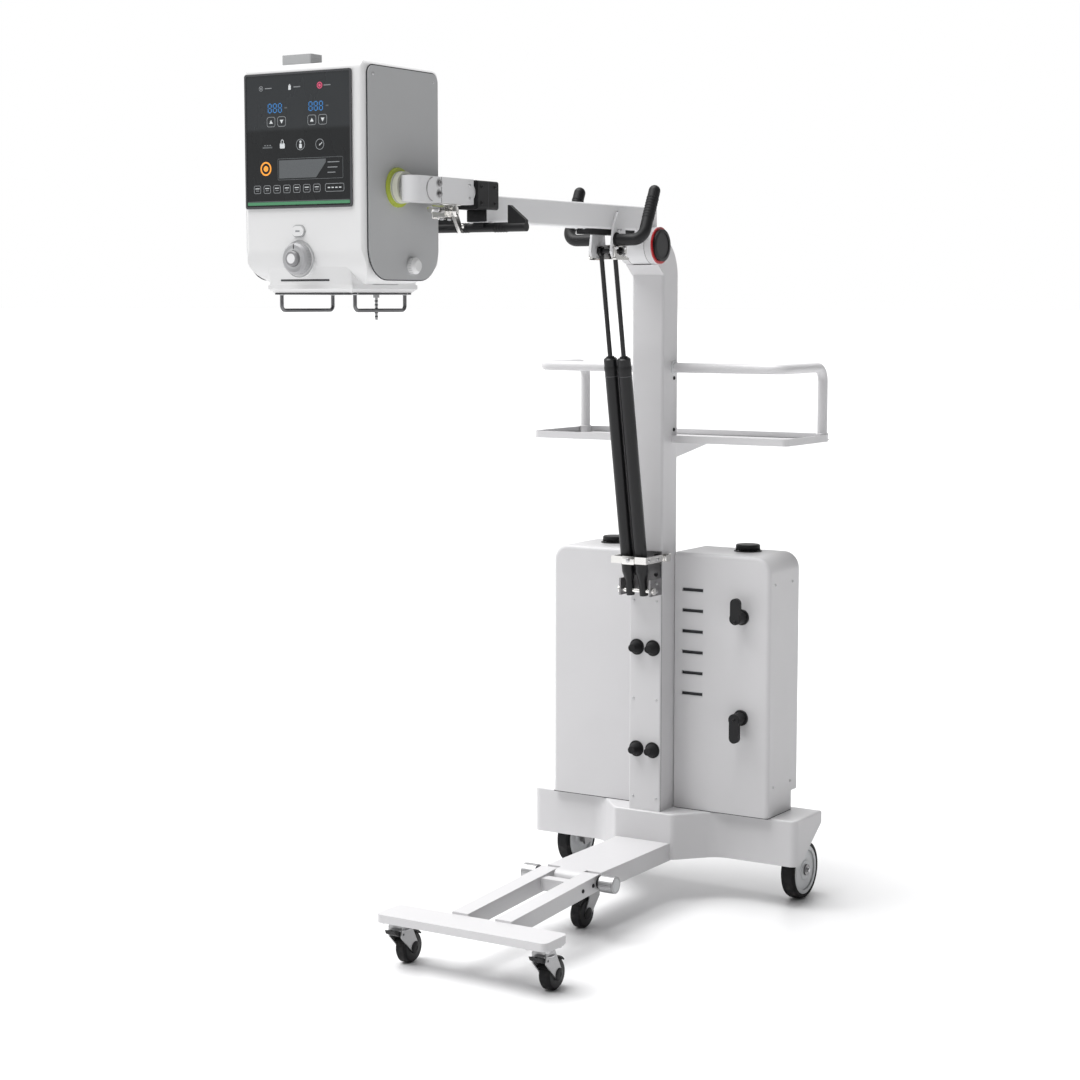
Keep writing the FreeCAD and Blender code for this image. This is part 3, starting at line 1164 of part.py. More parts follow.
# Front tube that turns in the black block, and its lock
nose_body = middle_box("nose_body", "arm_half_width - 2", "nose_length", "nose_height",
                       ("nose_front", "nose_z - nose_height / 2"))
nose_body = rounded("nose_rounded", nose_body, "nose_tip_radius",
                    lambda start, end: along("z")(start, end) and start.y < size("nose_front") + 1)
nose_bore = middle_box("nose_bore", "arm_half_width - 2 - arm_wall", "nose_length - 60",
                       "nose_height - 2 * arm_wall", ("nose_front + 50", "nose_z - nose_height / 2 + arm_wall"))
roll_flange = cylinder("roll_flange", "roll_flange_radius", "roll_flange_thickness",
                       ("0", "nose_rear", "nose_z"), "Y")
roll_shaft = cylinder("roll_shaft", "roll_shaft_radius", "roll_shaft_length + roll_flange_thickness",
                      ("0", "nose_rear", "nose_z"), "Y")
finish_subpart(fuse("nose_joined", cut("nose_hollow", nose_body, nose_bore), roll_flange, roll_shaft),
               "front_tube")

clamp_low = "nose_z - nose_height / 2 - 24"
clamp = cut("clamp_cut",
            middle_box("clamp_body", "13", "44", "24", ("nose_rear - 84", clamp_low)),
            cylinder("clamp_bore", "5 + running_gap", "30", ("-15", "nose_rear - 62", clamp_low + " + 11"), "X"))
finish_subpart(clamp, "lock_clamp")
lever = fuse("lever_joined",
             cylinder("lever_pin", "5", "34", ("-13", "nose_rear - 62", clamp_low + " + 11"), "X"),
             cylinder("lever_hub", "9", "7", ("13 + part_gap", "nose_rear - 62", clamp_low + " + 11"), "X"),
             prism("lever_arm", "YZ", [
                 ("nose_rear - 70", clamp_low + " + 11"), ("nose_rear - 54", clamp_low + " + 11"),
                 ("nose_rear - 34", clamp_low + " - 24"), ("nose_rear - 42", clamp_low + " - 28"),
             ], "7", "13 + part_gap"))
finish_subpart(lever, "lock_lever")

# The head's shaft with washer and retaining disc
washer_x = "-arm_half_width + 2 - washer_thickness"
head_shaft = fuse("head_shaft_joined",
                  cylinder("head_shaft_rod", "head_shaft_radius", "-arm_half_width + 2 - shell_right + head_wall + 8",
                           ("shell_right - head_wall - 8", "head_pivot_y", "head_pivot_z"), "X"),
                  cylinder("head_shaft_washer", "washer_radius", "washer_thickness",
                           (washer_x, "head_pivot_y", "head_pivot_z"), "X"),
                  cylinder("head_shaft_disc", "head_shaft_radius + 8", "8 - part_gap",
                           ("shell_right - head_wall - 8", "head_pivot_y", "head_pivot_z"), "X"))
finish_subpart(head_shaft, "head_shaft")

head_bore = cylinder("head_bore", "head_shaft_radius + running_gap", "80",
                     ("shell_right - head_wall - 10", "head_pivot_y", "head_pivot_z"), "X")
ring = cut("head_ring_cut", cylinder("head_ring_disc", "hub_ring_radius", "hub_ring_thickness",
                                     ("head_right", "head_pivot_y", "head_pivot_z"), "X"), head_bore)
finish_subpart(ring, "head_ring")
hub_start = "head_right + hub_ring_thickness"
hub = cut("head_hub_cut", cylinder("head_hub_disc", "hub_radius", washer_x + " - part_gap - (%s)" % hub_start,
                                   (hub_start, "head_pivot_y", "head_pivot_z"), "X"), head_bore)
finish_subpart(hub, "head_hub")

# The head's shell


def head_front_view(name, inset, floor, low_radius, high_radius):
    """The head seen from the front, with rounded corners."""
    body = prism(name, "XZ", [
        ("shell_left + (%s)" % inset, "head_low + (%s)" % floor),
        ("shell_right - (%s)" % inset, "head_low + (%s)" % floor),
        ("shell_right - (%s)" % inset, "head_top - (%s)" % inset),
        ("shell_left + (%s)" % inset, "head_top - (%s)" % inset),
    ], "head_depth", "-head_rear")
    middle = size("nose_z")
    soften(body, name + "_low", low_radius, lambda start, end: along("y")(start, end) and start.z < middle)
    soften(body, name + "_high", high_radius,
           lambda start, end: along("y")(start, end) and start.z > middle)
    return body


def head_side_view(name, inset, floor, front_radius, rear_radius, high_radius):
    """The head seen from the side, with rounded corners."""
    body = prism(name, "YZ", [
        ("head_front + (%s)" % inset, "head_low + (%s)" % floor),
        ("head_rear - (%s)" % inset, "head_low + (%s)" % floor),
        ("head_rear - (%s)" % inset, "head_top - (%s)" % inset),
        ("head_front + (%s)" % inset, "head_top - (%s)" % inset),
    ], "head_width + 20", "head_left - 10")
    middle = size("nose_z")
    centre = size("head_centre_y")
    soften(body, name + "_nose", front_radius, lambda start, end: along("x")(start, end)
           and start.z < middle and start.y < centre)
    soften(body, name + "_heel", rear_radius, lambda start, end: along("x")(start, end)
           and start.z < middle and start.y > centre)
    soften(body, name + "_high", high_radius, lambda start, end: along("x")(start, end) and start.z > middle)
    return body


front_view = head_front_view("head_front_view", "0", "0", "head_front_radius", "head_top_radius")
front_face, rear_face = size("head_front"), size("head_rear")
soften(front_view, "head_edges", "head_edge_radius",
       lambda start, end: max(abs(start.y - front_face), abs(end.y - front_face)) < 0.01
       or max(abs(start.y - rear_face), abs(end.y - rear_face)) < 0.01)
outside = common("head_outside", front_view, head_side_view(
    "head_side_view", "0", "0", "head_nose_radius", "head_side_radius", "head_top_radius"))
inside = common("head_inside",
                head_front_view("head_front_hollow", "head_wall", "head_floor", "30", "12"),
                head_side_view("head_side_hollow", "head_wall", "head_floor", "30", "45", "12"))
dial_boss = cylinder("dial_boss", "dial_radius + 3", "head_floor + 10",
                     ("control_x", "head_front + head_floor + 10", "nose_z - dial_drop"), "-Y")
dial_bore = cylinder("dial_bore", "8 + running_gap", "12",
                     ("control_x", "head_front - 1", "nose_z - dial_drop"), "Y")


def oval(name, grow, depth, y_face):
    """The hand key's oval, grown by a clearance."""
    ends = "key_width / 2 - key_height / 2"
    radius = "key_height / 2 + (%s)" % grow
    level = "nose_z - key_drop"
    return fuse(name,
                box(name + "_middle", "2 * (%s)" % ends, depth, "2 * (%s)" % radius,
                    ("control_x - (%s)" % ends, y_face, level + " - (%s)" % radius)),
                cylinder(name + "_left", radius, depth, ("control_x - (%s)" % ends, y_face, level), "Y"),
                cylinder(name + "_right", radius, depth, ("control_x + %s" % ends, y_face, level), "Y"))


key_pocket = oval("key_pocket", "running_gap", "2 + key_travel + 0.3 + 1", "head_front - 1")
side_bore = cylinder("side_bore", "5 + running_gap", "20",
                     ("head_right - cover_plate - 4", "head_centre_y + 22", "head_low + 34"), "X")
shell = cut("head_cut", fuse("head_joined", cut("head_hollow", outside, inside), dial_boss),
            head_bore, dial_bore, key_pocket, side_bore)
finish_subpart(shell, "head_shell")


def side_cover(tail, x_low):
    """A flat cover on the head's side."""
    body = prism("side_cover" + tail, "YZ", [
        ("head_front + cover_inset", "head_low + cover_inset"),
        ("head_rear - cover_inset", "head_low + cover_inset"),
        ("head_rear - cover_inset", "head_top - cover_inset"),
        ("head_front + cover_inset", "head_top - cover_inset"),
    ], "cover_plate", x_low)
    middle = size("nose_z")
    soften(body, "side_cover_low" + tail, "head_side_radius - cover_inset",
           lambda start, end: along("x")(start, end) and start.z < middle)
    soften(body, "side_cover_high" + tail, "head_top_radius",
           lambda start, end: along("x")(start, end) and start.z > middle)
    return body


covers = group("side_cover_pair", side_cover("_left", "head_left"),
               cut("side_cover_right_cut", side_cover("_right", "shell_right"), head_bore, side_bore))
finish_subpart(covers, "side_covers")

panel = box("panel_block", "panel_width", "panel_thickness", "panel_height",
            ("head_left + panel_left_margin", "head_front - panel_thickness",
             "head_top - panel_top_margin - panel_height"))
finish_subpart(rounded("panel_rounded", panel, "cover_edge_radius", along("y")), "control_panel")

dial = turned("dial_body", [
    ("0", "-9"), ("8", "-9"), ("8", "0"), ("dial_radius", "0"), ("dial_radius", "dial_thickness - 4"),
    ("dial_radius - 4", "dial_thickness"), ("dial_radius / 2", "dial_thickness"),
    ("dial_radius / 2", "dial_reach - 2"), ("dial_radius / 2 - 2", "dial_reach"), ("0", "dial_reach"),
], ("control_x", "head_front", "nose_z - dial_drop"), "-Y")
finish_subpart(dial, "collimator_knob")
finish_subpart(oval("hand_key_body", "0", "6", "head_front - 4"), "hand_key")

# Collimator below the head
half_depth = "frame_depth / 2"
frame_block = box("collimator_block", "2 * frame_half_width", "frame_depth", "frame_thickness",
                  ("head_middle - frame_half_width", "head_centre_y - frame_depth / 2", "collimator_low"))
low_level = size("collimator_low")
frame_block = rounded("collimator_bevel", frame_block, "frame_bevel",
                      lambda start, end: max(start.z, end.z) < low_level + 0.01, "Part::Chamfer")
frame_low = cut("collimator_cut", frame_block,
                box("collimator_opening", "2 * window_half", "2 * window_half", "frame_thickness - window_thickness",
                    ("head_middle - window_half", "head_centre_y - window_half", "collimator_low")))
finish_subpart(frame_low, "collimator_frame")
window = box("window_block", "2 * window_half", "2 * window_half", "window_thickness",
             ("head_middle - window_half", "head_centre_y - window_half",
              "head_low - 2 * window_thickness"))
finish_subpart(window, "collimator_window")

bails = []
for tail, side in (("right", 1), ("left", -1)):
    x = size("head_middle") + side * (size("frame_half_width") - size("bail_inset"))
    centre, half = size("head_centre_y"), size("bail_half_width")
    top, low = size("collimator_low"), size("collimator_low") - size("bail_drop")
    bails.append(bent_rod("bail_" + tail, [
        (x, centre - half, top), (x, centre - half, low), (x, centre + half, low), (x, centre + half, top),
    ], size("bail_radius"), size("bail_bend")))
finish_subpart(group("bail_pair", *bails), "wire_bails")

pin_x = "head_middle + frame_half_width - bail_inset - bail_radius - pointer_radius - 3"
pointer = fuse("pointer_joined",
               cylinder("pointer_collar", "pointer_radius + 3", "8", (pin_x, "head_centre_y", "collimator_low - 8")),
               cylinder("pointer_rod", "pointer_radius", "pointer_length",
                        (pin_x, "head_centre_y", "collimator_low - pointer_length")))
finish_subpart(pointer, "centring_pin")

finish_subpart(box("tank_block", "tank_width", "tank_depth", "tank_height",
                   ("head_middle - tank_width / 2", "head_centre_y - tank_depth / 2", "head_low + head_floor")),
               "tube_tank")

socket = box("socket_block", "socket_width", "socket_depth", "socket_height",
             ("head_left + 66", "head_front + 34", "head_top"))
finish_subpart(rounded("socket_rounded", socket, "cover_edge_radius", along("z")), "cable_socket")

side_knob = turned("side_knob_body", [
    ("0", "-4"), ("5", "-4"), ("5", "0"), ("side_knob_radius", "0"), ("side_knob_radius", "side_knob_length - 5"),
    ("side_knob_radius - 5", "side_knob_length"), ("0", "side_knob_length"),
], ("head_right", "head_centre_y + 22", "head_low + 34"), "X")
finish_subpart(side_knob, "side_knob")

doc.recompute()

for thing in doc.Objects:
    if "Invalid" in thing.State or "Error" in thing.State:
        raise RuntimeError("%s is %s" % (thing.Name, ", ".join(thing.State)))
os.makedirs("parts", exist_ok=True)
whole = FreeCAD.BoundBox()
for thing in subparts:
    shape = thing.Shape
    if shape.isNull() or not shape.isValid() or shape.Volume <= 0:
        raise RuntimeError("%s has no valid shape" % thing.Label)
    shape.exportStep("parts/%s.step" % thing.Label)
    whole.add(shape.BoundBox)
print("%d sub-parts, X %.1f to %.1f, Y %.1f to %.1f, Z %.1f to %.1f" % (
    len(subparts), whole.XMin, whole.XMax, whole.YMin, whole.YMax, whole.ZMin, whole.ZMax))
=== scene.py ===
"""A portable x-ray machine: its finishes and its fine pieces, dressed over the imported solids."""

import logging
import math
from dataclasses import dataclass, field
from enum import Enum
from typing import Optional, Sequence, Union

import bmesh
import bpy
from mathutils import Matrix, Vector


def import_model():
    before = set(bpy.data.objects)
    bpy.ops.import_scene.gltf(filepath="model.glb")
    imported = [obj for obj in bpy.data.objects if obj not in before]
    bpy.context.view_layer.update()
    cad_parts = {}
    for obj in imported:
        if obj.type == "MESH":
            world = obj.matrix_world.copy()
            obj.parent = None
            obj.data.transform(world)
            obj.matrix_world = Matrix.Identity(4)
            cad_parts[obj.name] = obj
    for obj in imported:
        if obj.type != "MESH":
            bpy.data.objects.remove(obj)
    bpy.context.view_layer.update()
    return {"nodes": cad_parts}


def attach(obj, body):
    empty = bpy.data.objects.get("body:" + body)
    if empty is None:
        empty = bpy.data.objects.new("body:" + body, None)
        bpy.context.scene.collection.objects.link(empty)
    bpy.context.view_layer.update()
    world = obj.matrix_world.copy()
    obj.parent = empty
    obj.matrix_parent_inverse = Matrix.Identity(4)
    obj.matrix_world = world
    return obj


Colour = tuple[float, float, float]
Point = tuple[float, float, float]
Flat = tuple[float, float]

LOG = logging.getLogger("x-ray machine")
SHIFT = 0.371
MM = 0.001
SIDES = ((1.0, "right"), (-1.0, "left"))


def at(x: float, y: float, z: float) -> Vector:
    """A place given in millimetres about the column's axis, as a point of the shared frame in metres."""
    return Vector((x * MM, y * MM + SHIFT, z * MM))


def outward(side: float) -> str:
    """The X axis, pointing away from the middle on a side."""
    return "X" if side > 0 else "-X"


def hand(side: float) -> str:
    """The name of a side."""
    return "right" if side > 0 else "left"


class Shade:
    """A socket of a node tree on which arithmetic can be written as Python expressions."""

    def __init__(self, tree: "Tree", socket: bpy.types.NodeSocket) -> None:
        """Keep the tree and the socket."""
        self.tree = tree
        self.socket = socket

    def _math(self, operation: str, first: object, second: object = 0.0) -> "Shade":
        """Add a Math node.

        Args:
            operation: the Math node's operation.
            first: a number or a Shade.
            second: a number or a Shade.

        Returns:
            The node's result.
        """
        return self.tree.node("ShaderNodeMath", {"operation": operation}, {0: first, 1: second})

    def __add__(self, other: object) -> "Shade":
        """The sum."""
        return self._math("ADD", self, other)

    __radd__ = __add__

    def __mul__(self, other: object) -> "Shade":
        """The product."""
        return self._math("MULTIPLY", self, other)

    __rmul__ = __mul__

    def __sub__(self, other: object) -> "Shade":
        """The difference."""
        return self._math("SUBTRACT", self, other)

    def __rsub__(self, other: object) -> "Shade":
        """The difference with the operands turned round."""
        return self._math("SUBTRACT", other, self)

    def root(self) -> "Shade":
        """The square root."""
        return self._math("SQRT", self)

    def clamped(self) -> "Shade":
        """The value kept between 0 and 1."""
        return self.tree.node("ShaderNodeClamp", {}, {0: self})

    def ramp(self, low: float, high: float) -> "Shade":
        """A smooth step from 0 at low to 1 at high."""
        settings = {"interpolation_type": "SMOOTHSTEP"}
        return self.tree.node("ShaderNodeMapRange", settings, {0: self, 1: low, 2: high, 3: 0.0, 4: 1.0})


class Tree:
    """A material's node tree with one call that makes any node."""

    def __init__(self, name: str) -> None:
        """Start a material with an empty tree.

        Args:
            name: the material's name.
        """
        self.material = bpy.data.materials.new(name)
        self.material.use_nodes = True
        self.nodes = self.material.node_tree.nodes
        self.links = self.material.node_tree.links
        self.nodes.clear()

    def node(self, kind: str, settings: dict[str, object], values: dict[object, object],
             output: Union[int, str] = 0) -> Shade:
        """Add a node.

        Args:
            kind: the node's type.
            settings: properties that are set first; "stops" gives a colour ramp's stops.
            values: a number, a vector or a Shade for each named or numbered input.
            output: the output to hand back.

        Returns:
            The chosen output.
        """
        made = self.nodes.new(kind)
        for key, value in settings.items():
            if key == "stops":
                self._stops(made.color_ramp, value)
            else:
                setattr(made, key, value)
        for key, value in values.items():
            socket = made.inputs[key]
            if isinstance(value, Shade):
                self.links.new(value.socket, socket)
            else:
                socket.default_value = value
        return Shade(self, made.outputs[output])

    @staticmethod
    def _stops(ramp: bpy.types.ColorRamp, stops: object) -> None:
        """Set a colour ramp's stops.

        Args:
            ramp: the colour ramp.
            stops: pairs of a place and a colour.
        """
        for index, (place, colour) in enumerate(stops):
            element = ramp.elements[index] if index < 2 else ramp.elements.new(place)
            element.position = place
            element.color = (*colour, 1.0)

    def spot(self) -> Shade:
        """The piece's own coordinates."""
        return self.node("ShaderNodeTexCoord", {}, {}, "Object")

    def noise(self, scale: float, detail: float = 3.0, stretch: Point = (1.0, 1.0, 1.0)) -> Shade:
        """A noise on the piece's own coordinates.

        Args:
            scale: features per metre.
            detail: octaves.
            stretch: a factor for each axis.

        Returns:
            The noise's value.
        """
        place = self.node("ShaderNodeMapping", {}, {"Vector": self.spot(), "Scale": stretch})
        return self.node("ShaderNodeTexNoise", {}, {"Vector": place, "Scale": scale, "Detail": detail})

    def mix(self, factor: object, first: object, second: object) -> Shade:
        """Mix two colours by a factor.

        Args:
            factor: 0 for the first colour, 1 for the second.
            first: a colour or a Shade.
            second: a colour or a Shade.

        Returns:
            The mixed colour.
        """
        values = {"Factor": factor, "A": first, "B": second}
        made = self.nodes.new("ShaderNodeMix")
        made.data_type = "RGBA"
        for key, value in values.items():
            socket = next(s for s in made.inputs if s.name == key and (s.type == "RGBA" or key == "Factor"))
            if isinstance(value, Shade):
                self.links.new(value.socket, socket)
            elif key == "Factor":
                socket.default_value = value
            else:
                socket.default_value = (*value, 1.0)
        return Shade(self, next(s for s in made.outputs if s.type == "RGBA"))

    def height(self) -> Shade:
        """The height above the floor of a point on the piece."""
        return self.node("ShaderNodeSeparateXYZ", {}, {0: self.spot()}, "Z")

    def bump(self, height: Shade, strength: float, distance: float) -> Shade:
        """A bumped normal."""
        return self.node("ShaderNodeBump", {}, {"Height": height, "Strength": strength, "Distance": distance})

    def surface(self, constants: dict[str, object], **linked: Optional[Shade]) -> bpy.types.Material:
        """Finish the tree with the main shader.

        Args:
            constants: values set on the shader's own sockets.
            linked: what varies over the surface; an underscore in a name stands for a space.

        Returns:
            The material.
        """
        shader = self.nodes.new("ShaderNodeBsdfPrincipled")
        for key, value in constants.items():
            shader.inputs[key].default_value = value
        for key, value in linked.items():
            if value is not None:
                self.links.new(value.socket, shader.inputs[key.replace("_", " ")])
        out = self.nodes.new("ShaderNodeOutputMaterial")
        self.links.new(shader.outputs[0], out.inputs[0])
        return self.material


def shaded(colour: Colour, factor: float) -> Colour:
    """A colour made darker or lighter."""
    return tuple(min(1.0, part * factor) for part in colour)


@dataclass(frozen=True)
class Finish:
    """A smooth finish with faint clouds of tone, a fine grain and uneven gloss."""

    name: str
    colour: Colour
    roughness: float = 0.45
    grain: float = 900.0
    relief: float = 0.00002
    cloud: float = 0.03
    coat: float = 0.0
    metallic: float = 0.0
    scuffs: float = 0.0
    shine: float = 0.5

    def material(self) -> bpy.types.Material:
        """Build the material.

        Returns:
            The material.
        """
        tree = Tree(self.name)
        cloud = tree.noise(6.0)
        tone = tree.mix(cloud.ramp(0.3, 0.7), shaded(self.colour, 1.0 - self.cloud),
                        shaded(self.colour, 1.0 + self.cloud))
        gloss = (tree.noise(35.0) - 0.5) * 0.12 + self.roughness
        if self.scuffs > 0.0:
            scratch = tree.noise(60.0, 6.0, (1.0, 1.0, 9.0)).ramp(0.64, 0.72) * self.scuffs
            tone = tree.mix(scratch, tone, shaded(self.colour, 0.72))
            gloss = gloss + scratch * 0.2
        grain = tree.noise(self.grain, 2.0)
        constants = {"Metallic": self.metallic, "Coat Weight": self.coat, "Coat Roughness": 0.12,
                     "Specular IOR Level": self.shine}
        return tree.surface(constants,
                            Base_Color=tone, Roughness=gloss.clamped(),
                            Normal=tree.bump(grain, 0.35, self.relief))


@dataclass(frozen=True)
class Brushed(Finish):
    """A metal with fine lines along one axis."""

    lines: Point = (1.0, 1.0, 30.0)
    metallic: float = 1.0

    def material(self) -> bpy.types.Material:
        """Build the material.

        Returns:
            The material.
        """
        tree = Tree(self.name)
        strokes = tree.noise(160.0, 4.0, self.lines)
        tone = tree.mix(strokes.ramp(0.25, 0.75), shaded(self.colour, 0.86), shaded(self.colour, 1.08))
        gloss = (strokes - 0.5) * 0.16 + self.roughness
        return tree.surface({"Metallic": self.metallic}, Base_Color=tone, Roughness=gloss.clamped(),
                            Normal=tree.bump(strokes, 0.2, self.relief))


@dataclass(frozen=True)
class Tyre(Finish):
    """Rubber with a fine grain and dust low on the tread."""

    def material(self) -> bpy.types.Material:
        """Build the material.

        Returns:
            The material.
        """
        tree = Tree(self.name)
        dust = tree.noise(45.0, 5.0).ramp(0.45, 0.8)
        tone = tree.mix(dust * 0.35, self.colour, (0.14, 0.13, 0.12))
        gloss = (tree.noise(90.0) - 0.5) * 0.15 + self.roughness
        constants = {"Metallic": self.metallic, "Specular IOR Level": self.shine}
        return tree.surface(constants, Base_Color=tone, Roughness=gloss.clamped(),
                            Normal=tree.bump(tree.noise(1400.0, 2.0), 0.5, self.relief))


@dataclass(frozen=True)
class PanelGlass(Finish):
    """A dark glossy panel whose upper zone is lighter."""

    low: float = 1.583
    high: float = 1.592

    def material(self) -> bpy.types.Material:
        """Build the material.

        Returns:
            The material.
        """
        tree = Tree(self.name)
        rise = tree.height().ramp(self.low, self.high)
        tone = tree.mix(rise, self.colour, shaded(self.colour, 2.6))
        smear = tree.noise(14.0, 4.0, (1.0, 1.0, 0.4)).ramp(0.45, 0.75)
        constants = {"Metallic": 0.0, "Coat Weight": 0.1, "Coat Roughness": 0.1, "Specular IOR Level": self.shine}
        return tree.surface(constants, Base_Color=tone, Roughness=smear * 0.12 + self.roughness,
                            Normal=tree.bump(tree.noise(25.0, 1.0), 0.05, 0.0002))


@dataclass(frozen=True)
class Lit(Finish):
    """A printed or lit mark on the panel; its glow is a lamp's own light on lit marks and painted brightness on
    printed ones.
    """

    lamp_and_painted_glow: float = 0.0

    def material(self) -> bpy.types.Material:
        """Build the material.

        Returns:
            The material.
        """
        tree = Tree(self.name)
        spot = tree.noise(700.0, 2.0)
        tone = tree.mix(spot.ramp(0.3, 0.7), shaded(self.colour, 0.9), shaded(self.colour, 1.1))
        # Emission: own light on the lit figures and the lamp, painted brightness on the printed marks.
        constants = {"Metallic": 0.0, "Emission Strength": self.lamp_and_painted_glow}
        return tree.surface(constants, Base_Color=tone, Emission_Color=tone,
                            Roughness=(spot * 0.1 + self.roughness).clamped())


@dataclass(frozen=True)
class Dial(Finish):
    """A turned knob: a grey flange, a darker band that is painted shade of the knob's cup, and a white middle, told
    apart by the distance from its axis.
    """

    middle: Flat = (-0.198, 1.358)
    steps: Flat = (0.0088, 0.0152)

    def material(self) -> bpy.types.Material:
        """Build the material.

        Returns:
            The material.
        """
        tree = Tree(self.name)
        across = tree.node("ShaderNodeSeparateXYZ", {}, {0: tree.spot()}, "X") - self.middle[0]
        rise = tree.height() - self.middle[1]
        distance = (across * across + rise * rise).root()
        # The band between the two radii is a darker copy of the flange's grey: painted shade inside the knob's cup.
        # The white middle is the knob's own colour.
        grip = tree.mix(distance.ramp(self.steps[0] - 0.0004, self.steps[0] + 0.0004), (0.72, 0.72, 0.73),
                        shaded(self.colour, 0.62))
        tone = tree.mix(distance.ramp(self.steps[1] - 0.0003, self.steps[1] + 0.0003), grip, self.colour)
        gloss = (tree.noise(60.0) - 0.5) * 0.1 + self.roughness
        return tree.surface({"Metallic": 0.0, "Coat Weight": self.coat}, Base_Color=tone,
                            Roughness=gloss.clamped(), Normal=tree.bump(tree.noise(self.grain), 0.3, self.relief))


@dataclass(frozen=True)
class Window(Finish):
    """Clear plastic."""

    def material(self) -> bpy.types.Material:
        """Build the material.

        Returns:
            The material.
        """
        tree = Tree(self.name)
        haze = tree.noise(30.0, 3.0)
        return tree.surface({"IOR": 1.49, "Coat Weight": 0.3, "Base Color": (*self.colour, 1.0)},
                            Roughness=haze * 0.06 + self.roughness, Alpha=haze * 0.1 + 0.25)


class Finishes(Enum):
    """Every finish of the machine."""

    WHITE_PAINT = Finish("white_paint", (0.60, 0.595, 0.605), 0.42, 1300.0, 0.00003, 0.012, 0.12, 0.0, 0.05)
    ARM_PAINT = Finish("arm_paint", (0.67, 0.67, 0.68), 0.4, 1300.0, 0.00003, 0.012, 0.15, 0.0, 0.05)
    WHITE_PLASTIC = Finish("white_plastic", (0.69, 0.69, 0.692), 0.36, 1500.0, 0.00001, 0.01, 0.1)
    GREY_PLASTIC = Finish("grey_plastic", (0.40, 0.405, 0.41), 0.5, 1800.0, 0.00004, 0.02)
    HUB_GREY = Finish("hub_grey", (0.55, 0.56, 0.57), 0.42, 900.0, 0.00002, 0.03)
    BLACK_PLASTIC = Finish("black_plastic", (0.010, 0.010, 0.011), 0.5, 1600.0, 0.00005, 0.1, shine=0.3)
    BLACK_RUBBER = Finish("black_rubber", (0.009, 0.009, 0.010), 0.66, 1300.0, 0.00006, 0.12, shine=0.3)
    BLACK_COAT = Finish("black_coat", (0.007, 0.007, 0.008), 0.36, 1200.0, 0.00001, 0.08, 0.1, shine=0.3)
    SEAL = Finish("dark_seal", (0.045, 0.046, 0.05), 0.55, 900.0, 0.00002, 0.1)
    TREAD = Tyre("tyre_rubber", (0.009, 0.009, 0.010), 0.7, 1400.0, 0.00008, shine=0.25)
    CHROME = Brushed("chrome", (0.78, 0.77, 0.75), 0.14, 900.0, 0.000004)
    WIRE = Brushed("bright_wire", (0.17, 0.17, 0.175), 0.32, 900.0, 0.000006)
    DARK_STEEL = Brushed("dark_steel", (0.30, 0.295, 0.30), 0.4, 900.0, 0.00001)
    STEEL = Brushed("plated_steel", (0.60, 0.60, 0.61), 0.3, 900.0, 0.00001)
    CASE = Brushed("cast_case", (0.5, 0.5, 0.52), 0.45, 500.0, 0.00003)
    RED = Finish("red_ring", (0.45, 0.015, 0.02), 0.35, 1500.0, 0.00001, 0.05, 0.3)
    LIME = Finish("lime_ring", (0.40, 0.47, 0.06), 0.42, 1500.0, 0.00001, 0.05)
    CREAM = Finish("cream_hub", (0.66, 0.66, 0.57), 0.42, 1300.0, 0.00001, 0.03)
    PANEL = PanelGlass("panel_glass", (0.010, 0.011, 0.012), 0.26, shine=0.28)
    DIAL = Dial("dial_grey", (0.36, 0.36, 0.37), 0.4, 1600.0, 0.00002)
    GALVANISED = Brushed("galvanised_steel", (0.42, 0.42, 0.425), 0.46, 700.0, 0.00001)
    CLEAR = Window("clear_window", (0.85, 0.88, 0.9), 0.04)
    CLEAR_CAP = Finish("frosted_cap", (0.58, 0.585, 0.59), 0.25, 1500.0, 0.00001, 0.02, 0.5)
    # The glow of the printed white, grey and dim marks is painted brightness, as they are no lamps; the blue figures
    # and the amber lamp give their own light.
    MARK_WHITE = Lit("mark_white", (0.52, 0.54, 0.55), 0.4, lamp_and_painted_glow=0.2)
    MARK_GREY = Lit("mark_grey", (0.22, 0.23, 0.24), 0.4, lamp_and_painted_glow=0.1)
    MARK_DIM = Lit("mark_dim", (0.085, 0.092, 0.097), 0.4, lamp_and_painted_glow=0.05)
    MARK_BLUE = Lit("mark_blue", (0.03, 0.16, 0.40), 0.35, lamp_and_painted_glow=0.25)
    MARK_RED = Lit("mark_red", (0.50, 0.06, 0.13), 0.4, lamp_and_painted_glow=0.3)
    MARK_AMBER = Lit("mark_amber", (0.80, 0.30, 0.03), 0.4, lamp_and_painted_glow=0.35)
    MARK_GREEN = Lit("mark_green", (0.06, 0.23, 0.11), 0.35, lamp_and_painted_glow=0.1)

    def material(self) -> bpy.types.Material:
        """The finish's material, made once."""
        found = bpy.data.materials.get(self.value.name)
        return found if found and found.use_fake_user else self._make()

    def _make(self) -> bpy.types.Material:
        """Make the material and mark it as made.

        Returns:
            The material.
        """
        made = self.value.material()
        made.use_fake_user = True
        return made


